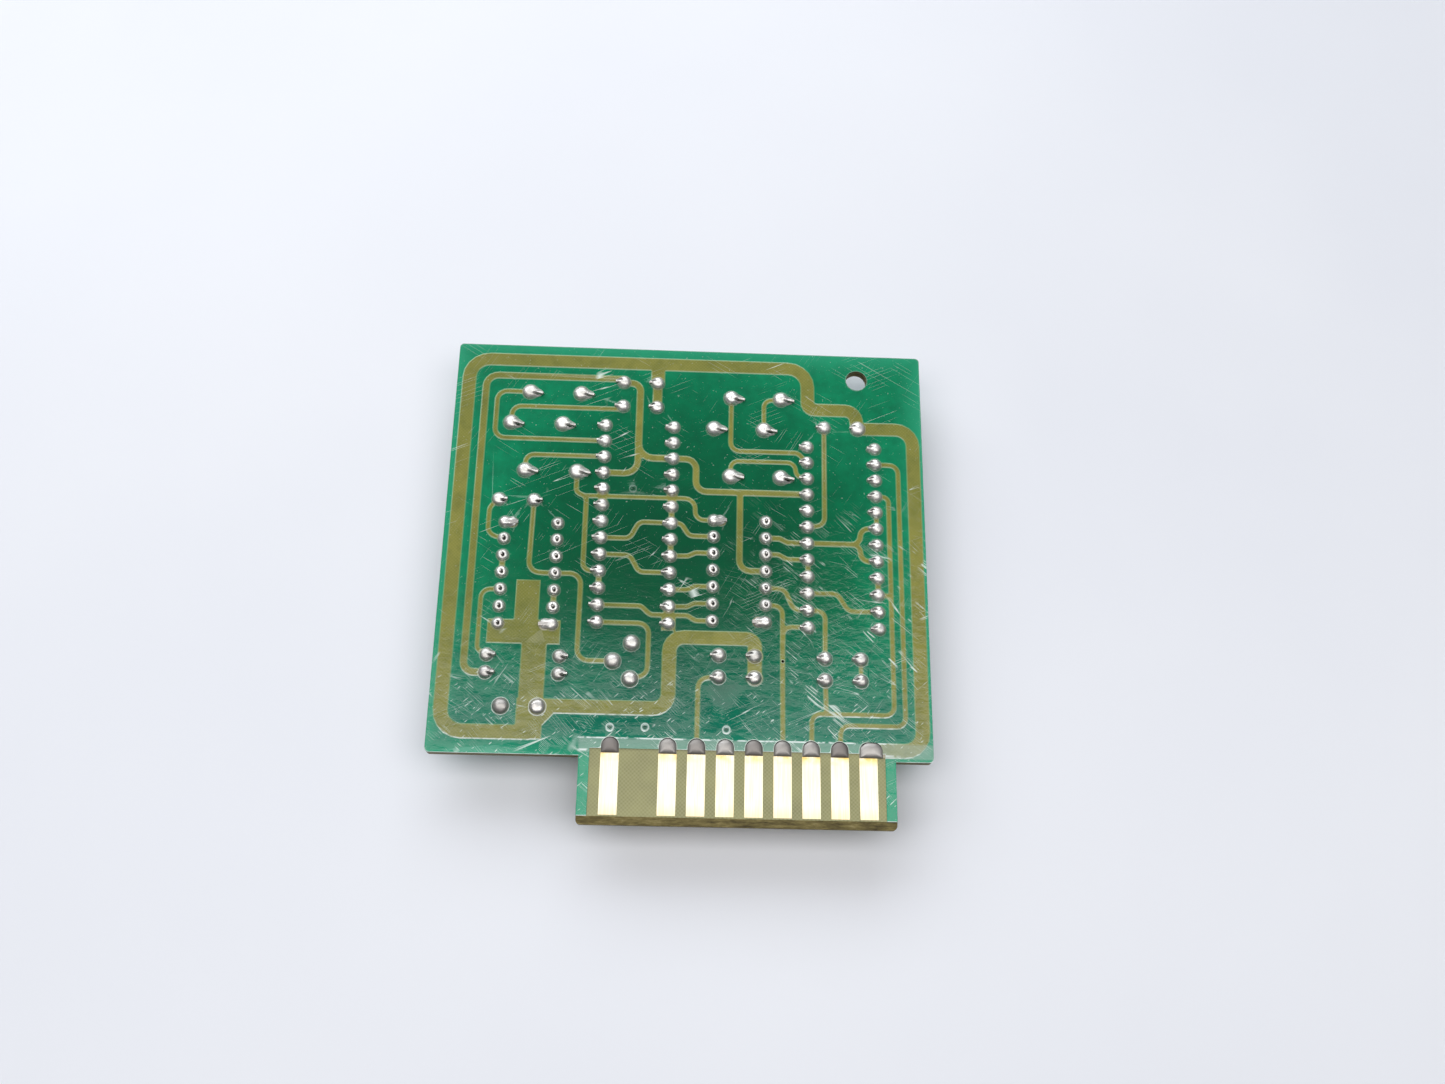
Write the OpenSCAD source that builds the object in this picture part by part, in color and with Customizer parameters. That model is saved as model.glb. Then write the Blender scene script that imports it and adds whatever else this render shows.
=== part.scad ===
// Servo driver board: a two-sided plug-in card, solder side up, resting on its components.
// Origin: middle of the outline in X and Y, on the surface the card rests on.

/* [Board] */
// Width of the board across the connector end
board_w = 70; // [68:1:74]
// Thickness of the glass-fibre laminate
board_t = 1.6; // [1.2:0.1:2.4]
// Height of the board's underside above the surface it rests on
stand_h = 6.6; // [6.6:0.1:7.2]
// Copper foil thickness
copper_t = 0.05; // [0.035:0.005:0.07]
// Solder resist thickness over the copper
resist_t = 0.03; // [0.02:0.01:0.05]
// Diameter of the mounting hole (clears an M3 screw)
mount_d = 3.2; // [3:0.1:3.6]

/* [Edge connector] */
// Pitch of the contact fingers
finger_pitch = 3.96; // [3.9:0.01:4]
// Width of one contact finger
finger_w = 2.5; // [2:0.1:2.8]
// Length of the gold-plated part of a finger
finger_l = 8.4; // [7:0.2:8.8]

/* [Components] */
// Lead pitch of the card's grid
pitch = 2.54; // [2.54:0.01:2.54]
// Diameter of a component lead
lead_d = 0.6; // [0.5:0.05:0.7]
// Drill for component leads
drill_d = 0.9; // [0.8:0.05:1.1]
// Resistor body diameter
resistor_d = 2.2; // [1.8:0.1:2.3]
// Resistor body length
resistor_l = 6.4; // [5.8:0.1:7]

/* [Trimming potentiometers] */
// Length of the trimmer housing
trim_l = 19.05; // [18:0.05:20]
// Width of the trimmer housing
trim_w = 4.83; // [4.6:0.01:5]
// Height of the trimmer housing
trim_h = 6.35; // [6.2:0.05:6.4]
// Diameter of the adjusting screw's head
screw_head_d = 2.36; // [2:0.02:2.6]

/* [Hidden] */
$fn = 32;
clear = 0.02;

// Board outline
board_top_y = 35.75;
body_bottom_y = -26.5;
tongue_end_y = -35.75;
tongue_left_x = -14;
tongue_right_x = 29.7;
corner_r = 0.6;
bevel_run = 1.1;
bevel_cut = 0.45;

// Levels, from the resting surface up
board_z = stand_h;
top_z = board_z + board_t;
pad_z = top_z + copper_t;
under_z = board_z - copper_t - resist_t;

// Mounting hole
mount_at = [25.3, 31.65];

// Component grid
row_span = 4 * pitch;
dip_span = 3 * pitch;
lead_span = 2 * pitch;
left_bank = [-12.4, 22.95];
left_rows = 13;
right_bank = [17.7, 20.4];
right_rows = 12;
left_ic = [-26.3, 7.15];
right_ic = [3.95, 8.3];
ic_rows = 7;
lower_resistors = [[-27.55, -12.65], [-27.55, -15.2]];
disc_caps = [[-9.95, 30.1], [-9.95, 26.15], [-27.4, 10.65], [20.25, 23.6]];
film_caps = [[5, -11.95], [5, -15.1], [20.05, -12.05], [20.05, -15.2]];
tantalum_at = [-25.1, -19.9];
transistor_pins = [[-7.35, -10.5], [-9.9, -13.15], [-7.4, -15.65]];
transistor_at = [-7.9, -13.1];
trim_x = [-23.95, -16.3, 6.3, 13.75];
trim_wiper_y = 22.95;
vias = [[-5.05, -22.4], [-9.9, -22.5], [6.2, -22.5], [14.05, -12.6], [-8, 12.9]];
via_hole_d = 0.8;
via_pad_d = 1.7;
// The one via that the resist leaves open, and the width of that opening
open_via = vias[3];
open_via_d = 0.4;

// Edge connector
finger_1_x = -9.75;
finger_count = 10;
key_position = 2;
finger_top_y = -26.05;
finger_slots = [for (k = [1 : finger_count]) if (k != key_position) k];
margin_w = 1.45;
resist_stop_y = -25.45;

function finger_x(k) = finger_1_x + finger_pitch * (k - 1);

// Lead positions
function two_up(list, span) = [for (p = list) each [p, p + [span, 0]]];
function rows_down(p, n) = [for (k = [0 : n - 1]) p - [0, pitch * k]];
function left_row(k) = left_bank - [0, pitch * (k - 1)];
function left_row_b(k) = left_row(k) + [row_span, 0];
function right_row(k) = right_bank - [0, pitch * (k - 1)];
function right_row_b(k) = right_row(k) + [row_span, 0];
function left_pin(k) = left_ic - [0, pitch * (k - 1)];
function left_pin_b(k) = left_pin(k) + [dip_span, 0];
function right_pin(k) = right_ic - [0, pitch * (k - 1)];
function right_pin_b(k) = right_pin(k) + [dip_span, 0];
function trim_pin_a(k) = [trim_x[k], trim_wiper_y + 2 * pitch];
function trim_pin_b(k) = [trim_x[k] - pitch, trim_wiper_y];
function trim_pin_c(k) = [trim_x[k], trim_wiper_y - 3 * pitch];

left_resistors = rows_down(left_bank, left_rows);
right_resistors = rows_down(right_bank, right_rows);
resistor_pins = two_up(concat(left_resistors, right_resistors), row_span);
lower_pins = two_up(lower_resistors, row_span);
disc_pins = two_up(disc_caps, lead_span);
film_pins = two_up(film_caps, lead_span);
tantalum_pins = two_up([tantalum_at], lead_span);
ic_pins = two_up(concat(rows_down(left_ic, ic_rows), rows_down(right_ic, ic_rows)), dip_span);
trim_pins = [for (k = [0 : 3]) each [trim_pin_a(k), trim_pin_b(k), trim_pin_c(k)]];
round_pins = concat(resistor_pins, lower_pins, disc_pins, film_pins, tantalum_pins, transistor_pins, trim_pins);

// Pad and joint sizes
resistor_pad_r = 0.92;
ic_pad_r = 0.88;
cap_pad_r = 1;
big_pad_r = 1.15;
square_pad = 1.9;
// Gap between a pad's solder and the resist round it
resist_gap = 0.03;

// Tracks: [width, corner radius, points]
fine = 0.6;
link = 0.7;
rail = 0.95;
ground = 1.95;
bar = 1.3;
solder_tracks = [
    // ground frame round the card
    [ground, 3, [[20, 26.55], [17.8, 26.55], [17.8, 33.3], [-33.2, 33.3], [-33.3, -23.5], [-21, -23.5]]],
    [ground, 2.4, [[19, 26.55], [24.9, 26.55], disc_pins[7]]],
    [ground, 2.6, [disc_pins[7], [33.6, 23.7], [33.6, -24.95], [27.5, -24.95]]],
    [ground, 1, [[-4.87, 33.3], disc_pins[1]]],
    [bar, 1, [disc_pins[1], disc_pins[3]]],
    [ground, 2, [[-21, -19.75], [-2, -19.75], [-2, -9.45], [10.1, -9.45], film_pins[1]]],
    [ground, 1, [film_pins[1], film_pins[3]]],
    // supply rail inside the frame
    [rail, 1.8, [disc_pins[0], [-9.9, 30.65], [-30.6, 30.65], [-30.65, -15.2], lower_pins[2]]],
    [rail, 2.2, [disc_pins[0], [-7.45, 29.9], [-7.45, 17.87], left_row_b(3)]],
    [0.85, 2.2, [[-7.45, 19.4], [-7.45, 15.33], left_row(4)]],
    [0.85, 1.6, [left_row_b(3), [1.2, 17.87], [1.2, 12.78], right_row(4)]],
    [0.8, 1.6, [[7.75, 12.78], [7.75, 0.68], right_pin_b(4)]],
    // upper left
    [fine, 1.5, [trim_pin_a(0), [-28.8, 28.1], [-28.8, 20.45], left_row(2)]],
    [fine, 1.5, [disc_pins[2] - [0, 0.5], [-26.4, 25.65], trim_pin_b(0)]],
    [fine, 1.6, [trim_pin_c(0), [-23.95, 17.87], left_row(3)]],
    [fine, 1.5, [trim_pin_c(1), [-16.3, 12], [-14.75, 11.55], [-14.75, 0.09], left_row(10)]],
    [0.55, 1.6, [[-15.2, 11.6], [1.2, 11.6], [1.2, 8.3], right_pin(1)]],
    // between the left resistors and the right IC
    [fine, 1.2, [left_row(8), [-8.2, 5.17], [-6.9, 7.75], left_row_b(7), [-0.8, 7.7], [0.4, 5.8], right_pin(2)]],
    [fine, 1.2, [left_row(9), [-8.1, 2.6], [-6.7, 0.1], left_row_b(10)]],
    [fine, 1.2, [left_row_b(9), [0.3, 2.7], [1.4, 3.25], right_pin(3)]],
    [fine, 1.2, [left_row_b(11), [0.3, -2.4], [1.4, -1.85], right_pin(5)]],
    [fine, 1.2, [left_row_b(12), [0.3, -4.95], [1.4, -4.4], right_pin(6)]],
    [fine, 1.2, [left_row(12), [-6.2, -5], [-4.9, -6.25], [0.4, -6.25], [1.6, -6.95], right_pin(7)]],
    [fine, 1.5, [left_row(13), [-5, -7.55], [-5, -15], transistor_pins[2]]],
    [link, 1, [left_row(10), left_row(11)]],
    [link, 1, [left_row_b(6), left_row_b(7)]],
    [link, 1, [left_row_b(8), left_row_b(9)]],
    // round the left IC
    [0.55, 1.6, [disc_pins[4], [-28.7, 9.4], [-28.7, 5.2], left_pin(2)]],
    [link, 1, [left_pin(3), left_pin(4)]],
    [0.55, 1.6, [left_pin(5), [-28.95, -3.1], [-28.95, -12], lower_pins[0]]],
    [fine, 1.6, [disc_pins[5], [-22.5, -0.35], left_pin_b(4)]],
    [fine, 1.6, [left_pin_b(4), [-14.95, -0.35], [-14.95, -13.15], transistor_pins[1]]],
    [link, 1, [left_pin_b(5), left_pin_b(6)]],
    // upper right
    [fine, 1.4, [trim_pin_a(2), [6.25, 19.4], [16.3, 19.4], right_row(2)]],
    [0.55, 1.2, [trim_pin_a(3), [11.2, 27.8], trim_pin_b(3)]],
    [0.55, 1.6, [trim_pin_c(2), [6.3, 17.8], [15.8, 17.8], [16.1, 15.6], right_row(3)]],
    [fine, 1.4, [disc_pins[6], [20.2, 8], right_row(6)]],
    [fine, 1.3, [right_row_b(2), [31.25, 17.85], [31.25, -21.55], [22.1, -21.55], [22.05, -24.5]]],
    [fine, 1.3, [right_row_b(4), [29.7, 12.7], [29.7, -20], [18.1, -20], [18.05, -24.5]]],
    [fine, 1, [right_row_b(10), [29.7, -2.5], [29.7, -4.5]]],
    [link, 1, [right_row_b(9), right_row_b(10)]],
    [fine, 1, [right_row_b(5), right_row_b(6)]],
    // right of the right IC
    [link, 1.2, [right_pin_b(2), [13.6, 5.75], [14.8, 5.17], right_row(7)]],
    [link, 1.4, [right_row(7), [25.3, 5.17], [25.5, 7.65], right_row_b(6)]],
    [link, 1.4, [[23, 5.17], [25.3, 5.17], [25.5, 2.65], right_row_b(8)]],
    [fine, 1.2, [right_pin_b(3), [13.4, 3.3], [14.7, 2.6], right_row(8)]],
    [fine, 1, [right_row(8), right_row(9)]],
    [fine, 1.4, [right_pin_b(5), [14.3, -1.9], [15.6, -5], right_row(11)]],
    [fine, 1.4, [right_pin_b(6), [14, -4.5], [14.05, -24.5]]],
    [fine, 1.2, [right_row(12), [14.1, -7.55], [14.05, -10]]],
    [fine, 1.4, [right_row(10), [21.9, -2.4], [23.5, -5], right_row_b(11)]],
    [fine, 1.4, [right_row(11), [20.15, -5.1], film_pins[4]]],
    [fine, 1, [film_pins[6], [20.15, -20]]],
    [0.5, 1, [film_pins[5], film_pins[7]]],
    [fine, 1.5, [film_pins[2], [2.15, -15.3], [2.13, -24.5]]]
];
component_tracks = [
    [ground, 3, [[-33.2, 10], [-33.2, 33.3], [15, 33.3]]],
    [rail, 2, [left_pin_b(7), [-16, -7.55], [-16, -24.9], [-9.75, -24.9]]],
    [fine, 1.5, [trim_pin_a(1), [-14.3, 28], [-14.3, 21.5], left_row(1)]],
    [fine, 1.5, [trim_pin_b(1), [-20.6, 22], [-20.6, 8], left_pin_b(1)]],
    [fine, 1.5, [left_row(5), left_row_b(5)]],
    [fine, 1.5, [left_row_b(1), [3.76, 22.95]]],
    [fine, 1.5, [left_row_b(4), [0.8, 15.3], [0.8, -4], [1.4, -9], [1.4, -20], vias[0]]],
    [fine, 1.5, [right_pin(4), [7, 0.68], [7, -21], vias[2]]],
    [fine, 1.5, [trim_pin_c(3), [15.4, 15.3], [15.4, 10.25], right_row(5)]],
    [fine, 1.5, [right_row_b(1), [30.6, 20.3], [30.6, 2.4], right_row_b(8)]],
    [fine, 1.5, [right_row_b(3), [29.6, 15.3], [29.6, 7.7], right_row_b(6)]],
    [fine, 1.5, [right_row_b(12), [27.9, -18], [18.2, -18], [18.1, -24.5]]],
    [fine, 1.5, [vias[3], [12.8, -14], [10.1, -17.5], [10.05, -24.5]]],
    [fine, 1, [vias[0], [-2, -22.9], [-1.83, -24.5]]],
    [fine, 1, [vias[1], [-9.75, -24.5]]],
    [fine, 1, [vias[2], [6.09, -24.5]]],
    [fine, 1.5, [left_row(6), [-8, 10.25], vias[4]]]
];

// Flat facets: in a track's bend, its round ends, and a pad
bend_steps = 5;
end_fn = 12;
pad_fn = 20;

// Sizes of the parts
resistor_z = under_z - 0.15 - resistor_d / 2;
disc_d = 5.5;
disc_t = 2.2;
disc_z = under_z - 0.75 - disc_d / 2;
film_l = 7.2;
film_t = 2.5;
film_top_z = 6.3;
tantalum_d = 5.2;
tantalum_h = 5.4;
to92_d = 4.6;
to92_h = 4.7;
to92_z = 0.3;
ic_body_w = 6.35;
ic_body_l = 19.3;
ic_body_h = 3.3;
ic_gap = 0.5;
ic_body_z = under_z - ic_gap - ic_body_h;
ic_lead_t = 0.25;
ic_lead_w = 0.5;
ic_shoulder_w = 1.4;

// Trimmer: housing walls, screw and wiper carriage
trim_wall = 0.65;
trim_end_wall = 1.2;
trim_front_y = trim_wiper_y + 8.255;
trim_back_y = trim_front_y - trim_l;
screw_z = 3;
screw_neck_d = 1.5;
screw_fit = 0.05;
thread_d = 1.4;
collar_d = 2.2;
collar_l = 0.5;
journal_d = 0.9;
journal_l = 0.5;
head_l = 1.5;
head_gap = 0.05;
slot_w = 0.6;
slot_deep = 0.65;
carriage_l = 3;
carriage_h = 3.4;
element_t = 0.6;
element_z = 5.55;
track_h = 0.1;
foot_h = 0.12;

function trim_mid_x(k) = trim_x[k] - pitch / 2;

// ---- flat shapes ----

// Points of a rounded corner at p, between its neighbours a and b
function corner(a, p, b, r) =
    let (u = (a - p) / norm(a - p))
    let (v = (b - p) / norm(b - p))
    let (half = acos(max(-1, min(1, u * v))) / 2)
    let (cut = min(r / tan(half), 0.48 * norm(a - p), 0.48 * norm(b - p)))
    let (arc_r = cut * tan(half))
    let (mid = p + (u + v) / norm(u + v) * arc_r / sin(half))
    let (from = p + u * cut - mid)
    let (to = p + v * cut - mid)
    let (start = atan2(from.y, from.x))
    let (turn = (atan2(to.y, to.x) - start + 540) % 360 - 180)
    let (steps = bend_steps)
    [for (k = [0 : steps]) mid + arc_r * [cos(start + turn * k / steps), sin(start + turn * k / steps)]];

// A route with each inner corner rounded
function rounded(points, r) =
    let (last = len(points) - 1)
    concat(
        [points[0]],
        [for (k = [1 : 1 : last - 1]) each corner(points[k - 1], points[k], points[k + 1], r)],
        [points[last]]
    );

// Points d to the left of a route
function beside(points, d) =
    let (last = len(points) - 1)
    [for (k = [0 : last])
        let (along = points[min(k + 1, last)] - points[max(k - 1, 0)])
        points[k] + d * [-along.y, along.x] / norm(along)];

function backwards(list) = [for (k = [len(list) - 1 : -1 : 0]) list[k]];

module stroke(points, w) {
    polygon(concat(beside(points, w / 2), backwards(beside(points, -w / 2))));
    discs([points[0], points[len(points) - 1]], w / 2, end_fn);
}

module tracks(list) {
    for (t = list)
        stroke(rounded(t[2], t[1]), t[0]);
}

module discs(list, r, facets = $fn) {
    for (p = list)
        translate(p)
            circle(r, $fn = facets);
}

module rounded_box(low, high, r) {
    translate(low + [r, r])
        offset(r)
            square(high - low - [2 * r, 2 * r]);
}

module board_outline() {
    rounded_box([-board_w / 2, body_bottom_y], [board_w / 2, board_top_y], corner_r);
    rounded_box([tongue_left_x, tongue_end_y], [tongue_right_x, body_bottom_y + 3], corner_r);
}

module finger_strip(y_low, y_high) {
    for (k = finger_slots)
        translate([finger_x(k) - finger_w / 2, y_low])
            square([finger_w, y_high - y_low]);
}

// Round-ended land that carries the tinning above each finger
module finger_lands() {
    finger_strip(finger_top_y, finger_top_y + 1);
    for (k = finger_slots)
        translate([finger_x(k), finger_top_y + 1])
            circle(finger_w / 2);
}

module pads() {
    discs(concat(resistor_pins, lower_pins), resistor_pad_r, pad_fn);
    discs(ic_pins, ic_pad_r, pad_fn);
    discs(concat(disc_pins, film_pins), cap_pad_r, pad_fn);
    discs(concat(tantalum_pins, transistor_pins, trim_pins), big_pad_r, pad_fn);
    discs([disc_pins[7], film_pins[1], film_pins[3]], big_pad_r, pad_fn);
    translate(left_row_b(13))
        square(square_pad, center = true);
}

// The cross-shaped earth area between the left IC's last pins and the frame
module earth_area() {
    translate([-24, -8])
        square([3.3, 6.4]);
    translate([-27.7, -10.9])
        square([10.2, 3.4]);
    translate([-22.7, -24.4])
        square([3.4, 14]);
    polygon([[-22.9, -24.4], [-21, -24.4], [-17.6, -20.6], [-17.6, -18.8], [-22.9, -18.8]]);
}

// Rounds inside corners, as etched artwork has them
module eased(r) {
    offset(r = -r, $fn = end_fn)
        offset(delta = r)
            children();
}

module drill_holes(d) {
    discs(round_pins, d / 2);
    discs(ic_pins, d / 2);
}

module solder_artwork() {
    difference() {
        eased(0.25) {
            tracks(solder_tracks);
            pads();
            earth_area();
            finger_lands();
        }
        drill_holes(drill_d);
        discs([open_via], open_via_d / 2);
        translate([tongue_left_x, tongue_end_y])
            square([tongue_right_x - tongue_left_x, finger_top_y - tongue_end_y]);
    }
}

module component_artwork() {
    difference() {
        eased(0.25) {
            tracks(component_tracks);
            pads();
            discs(vias, via_pad_d / 2, pad_fn);
            finger_lands();
        }
        drill_holes(drill_d);
        discs(vias, via_hole_d / 2);
        translate([tongue_left_x, tongue_end_y])
            square([tongue_right_x - tongue_left_x, finger_top_y - tongue_end_y]);
    }
}

// Area that the resist covers: the body and two strips down the tongue
module resist_area() {
    difference() {
        board_outline();
        translate([tongue_left_x + margin_w, tongue_end_y - 1])
            square([tongue_right_x - tongue_left_x - 2 * margin_w, resist_stop_y - tongue_end_y + 1]);
        translate([tongue_left_x - 1, tongue_end_y - 1])
            square([tongue_right_x - tongue_left_x + 2, bevel_run + 1]);
        discs(concat(resistor_pins, lower_pins), resistor_pad_r + resist_gap);
        discs(ic_pins, ic_pad_r + resist_gap);
        discs(concat(disc_pins, film_pins), cap_pad_r + resist_gap);
        discs(concat(tantalum_pins, transistor_pins, trim_pins), big_pad_r + resist_gap);
        discs([disc_pins[7]], big_pad_r + resist_gap);
        for (p = bent_pins)
            translate(p + [pin_side(p) * bent_bulge_at, 0])
                circle(bent_bulge_r + resist_gap);
        discs([open_via], open_via_d / 2);
        offset(-resist_gap)
            finger_lands();
        translate(mount_at)
            circle(d = mount_d);
    }
}

// ---- board ----

module laminate() {
    color("darkkhaki")
        difference() {
            translate([0, 0, board_z])
                linear_extrude(board_t)
                    board_outline();
            translate([0, 0, board_z - 1]) {
                translate(mount_at)
                    cylinder(h = board_t + 2, d = mount_d);
                for (p = concat(round_pins, ic_pins))
                    translate(p)
                        cylinder(h = board_t + 2, d = drill_d);
                for (p = vias)
                    translate(p)
                        cylinder(h = board_t + 2, d = via_hole_d);
            }
            tongue_bevel(board_z, -1);
            tongue_bevel(top_z, 1);
        }
}

// Wedge that takes the sharp edge off the tongue's end, above (side 1) or below (side -1)
module tongue_bevel(z, side) {
    translate([tongue_left_x - 1, tongue_end_y, z])
        rotate([90, 0, 90])
            linear_extrude(tongue_right_x - tongue_left_x + 2)
                polygon([[-1, side], [-1, -side * bevel_cut], [0, -side * bevel_cut], [bevel_run, 0], [bevel_run, side]]);
}

module solder_side_copper() {
    color("peru")
        translate([0, 0, top_z])
            linear_extrude(copper_t)
                solder_artwork();
}

module component_side_copper() {
    color("peru")
        translate([0, 0, board_z - copper_t])
            linear_extrude(copper_t)
                component_artwork();
}

module solder_side_resist() {
    color("seagreen")
        translate([0, 0, pad_z])
            linear_extrude(resist_t)
                resist_area();
}

module component_side_resist() {
    color("seagreen")
        translate([0, 0, under_z])
            linear_extrude(resist_t)
                resist_area();
}

module solder_side_fingers() {
    color("gold")
        translate([0, 0, top_z])
            linear_extrude(copper_t)
                finger_strip(finger_top_y - finger_l, finger_top_y);
}

module component_side_fingers() {
    color("gold")
        translate([0, 0, board_z - copper_t])
            linear_extrude(copper_t)
                finger_strip(finger_top_y - finger_l, finger_top_y);
}

// Low solder domes on the lands above the fingers
module finger_tinning() {
    land_r = finger_w / 2 - 0.1;
    rise = 0.35;
    ball_r = (land_r * land_r + rise * rise) / (2 * rise);
    color("lightgray")
        for (k = finger_slots)
            translate([finger_x(k), finger_top_y + 1, pad_z])
                intersection() {
                    translate([0, 0, rise - ball_r])
                        sphere(ball_r, $fn = 64);
                    cylinder(h = 1, r = 2 * land_r);
                }
}

module via_barrels() {
    color("peru")
        for (p = vias)
            translate([p.x, p.y, board_z])
                difference() {
                    cylinder(h = board_t, d = via_hole_d - clear);
                    translate([0, 0, -1])
                        cylinder(h = board_t + 2, d = via_hole_d - 0.1);
                }
}

// ---- solder ----

// A spherical cap of solder on a pad
module dome(r, h) {
    ball_r = (r * r + h * h) / (2 * h);
    intersection() {
        translate([0, 0, h - ball_r])
            sphere(ball_r, $fn = 48);
        cylinder(h = h + 1, r = r + 1);
    }
}

// The end of a round lead: up through the board, then bent flat at the given angle
module lead_end(angle, reach, grow) {
    bend_z = 0.36;
    translate([0, 0, -0.5])
        cylinder(h = bend_z + 0.5 + lead_d / 4, d = lead_d + 2 * grow);
    translate([0, 0, bend_z])
        rotate([0, 90, angle])
            cylinder(h = reach + grow, d = lead_d - 0.04 + 2 * grow);
}

module joints(list, r, h, angle, reach) {
    for (p = list)
        translate([p.x, p.y, pad_z])
            difference() {
                dome(r, h);
                lead_end(angle, reach, clear);
            }
}

resistor_reach = 1.25;
trim_reach = 2;
straight_reach = 0.3;

module resistor_solder() {
    color("silver") {
        joints(resistor_pins, resistor_pad_r, 0.85, 180, resistor_reach);
        joints(lower_pins, resistor_pad_r, 0.85, 0, resistor_reach);
    }
}

module capacitor_solder() {
    color("silver") {
        joints([disc_pins[0], disc_pins[1], disc_pins[2], disc_pins[3], disc_pins[6]], cap_pad_r, 0.85, 180, resistor_reach);
        joints([disc_pins[4], disc_pins[5]], cap_pad_r, 0.85, 0, resistor_reach);
        joints([disc_pins[7]], big_pad_r, 0.9, 180, resistor_reach);
        joints(film_pins, cap_pad_r, 0.85, 180, resistor_reach);
        joints(tantalum_pins, big_pad_r, 0.9, 0, straight_reach);
    }
}

module trimmer_solder() {
    color("silver")
        joints(trim_pins, big_pad_r, 0.9, -10, trim_reach);
}

module transistor_solder() {
    color("silver")
        joints(transistor_pins, big_pad_r, 0.9, 0, straight_reach);
}

// The two diagonal corner pins of each IC are bent over to hold it while it is soldered
bent_pins = [left_pin(1), right_pin(1), left_pin_b(ic_rows), right_pin_b(ic_rows)];
function is_bent(p) = len([for (b = bent_pins) if (norm(b - p) < 0.1) b]) > 0;
ic_tip = 0.85;
bent_reach = 1.9;
bent_bulge_at = 1;
bent_bulge_r = 0.8;

// Narrow end of an IC lead from the board up to its tip, leaning over if bent
module ic_lead_end(p, side, grow) {
    low_z = -0.5;
    reach = is_bent(p) ? 0.45 : ic_tip;
    translate([-ic_lead_t / 2 - grow, -ic_lead_w / 2 - grow, low_z])
        cube([ic_lead_t + 2 * grow, ic_lead_w + 2 * grow, reach - low_z + grow]);
    if (is_bent(p))
        translate([side > 0 ? 0 : -bent_reach - grow, -ic_lead_w / 2 - grow, reach - ic_lead_t - grow])
            cube([bent_reach + grow, ic_lead_w + 2 * grow, ic_lead_t + 2 * grow]);
}

function pin_side(p) = abs(p.x - left_ic.x) < 0.1 || abs(p.x - right_ic.x) < 0.1 ? 1 : -1;

module ic_solder() {
    color("silver")
        for (p = ic_pins)
            translate([p.x, p.y, pad_z])
                difference() {
                    union() {
                        dome(ic_pad_r, 0.7);
                        if (is_bent(p))
                            translate([pin_side(p) * bent_bulge_at, 0, 0])
                                dome(bent_bulge_r, 0.6);
                    }
                    ic_lead_end(p, pin_side(p), clear);
                }
}

// ---- components under the board ----

module resistor_body(p) {
    end_l = 1.3;
    translate([p.x + row_span / 2 - resistor_l / 2, p.y, resistor_z])
        rotate([0, 90, 0]) {
            translate([0, 0, 0.2])
                cylinder(h = resistor_l - 0.4, d = resistor_d - 0.3);
            cylinder(h = end_l, d = resistor_d);
            translate([0, 0, resistor_l - end_l])
                cylinder(h = end_l, d = resistor_d);
        }
}

// One formed lead: out of the body, up through the board, bent over on the pad
module formed_lead(from_x, p, angle) {
    low_x = min(from_x, p.x);
    translate([low_x, p.y, resistor_z])
        rotate([0, 90, 0])
            cylinder(h = abs(from_x - p.x), d = lead_d - 0.04);
    translate([p.x, p.y, resistor_z - lead_d / 4])
        cylinder(h = pad_z - resistor_z, d = lead_d);
    translate([p.x, p.y, pad_z])
        lead_end(angle, resistor_reach, 0);
}

module resistor_leads(list, angle) {
    for (p = list) {
        formed_lead(p.x + row_span / 2 - resistor_l / 2, p, angle);
        formed_lead(p.x + row_span / 2 + resistor_l / 2, p + [row_span, 0], angle);
    }
}

module left_resistor_bodies() {
    color("burlywood")
        for (p = left_resistors)
            resistor_body(p);
}

module right_resistor_bodies() {
    color("burlywood")
        for (p = right_resistors)
            resistor_body(p);
}

module lower_resistor_bodies() {
    color("burlywood")
        for (p = lower_resistors)
            resistor_body(p);
}

module left_resistor_leads() {
    color("silver")
        resistor_leads(left_resistors, 180);
}

module right_resistor_leads() {
    color("silver")
        resistor_leads(right_resistors, 180);
}

module lower_resistor_leads() {
    color("silver")
        resistor_leads(lower_resistors, 0);
}

// Moulded body with the end notch that marks pin 1's end
module ic_body(p) {
    mid = p + [dip_span / 2, -dip_span];
    notch_d = 1.5;
    chamfer = 0.35;
    difference() {
        translate([mid.x, mid.y + ic_body_l / 2, ic_body_z])
            rotate([90, 0, 0])
                linear_extrude(ic_body_l)
                    polygon([
                        [-ic_body_w / 2 + chamfer, 0],
                        [ic_body_w / 2 - chamfer, 0],
                        [ic_body_w / 2, ic_body_h / 2],
                        [ic_body_w / 2 - chamfer, ic_body_h],
                        [-ic_body_w / 2 + chamfer, ic_body_h],
                        [-ic_body_w / 2, ic_body_h / 2]
                    ]);
        translate([mid.x, mid.y + ic_body_l / 2, ic_body_z - 1])
            cylinder(h = 1.8, d = notch_d);
    }
}

// A row lead: shoulder out of the body's side, wide leg to the board, narrow end through it
module ic_lead(p, side) {
    shoulder_z = ic_body_z + ic_body_h / 2;
    body_x = p.x + side * (dip_span - ic_body_w) / 2;
    low_x = min(body_x, p.x - side * ic_lead_t / 2);
    translate([low_x, p.y - ic_shoulder_w / 2, shoulder_z - ic_lead_t / 2])
        cube([abs(body_x - p.x) + ic_lead_t / 2, ic_shoulder_w, ic_lead_t]);
    translate([p.x - ic_lead_t / 2, p.y - ic_shoulder_w / 2, shoulder_z - ic_lead_t / 2])
        cube([ic_lead_t, ic_shoulder_w, under_z - shoulder_z]);
    translate([p.x - ic_lead_t / 2, p.y - ic_lead_w / 2, under_z - 0.5])
        cube([ic_lead_t, ic_lead_w, pad_z - under_z + 0.5]);
    translate([p.x, p.y, pad_z])
        ic_lead_end(p, side, 0);
}

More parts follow.
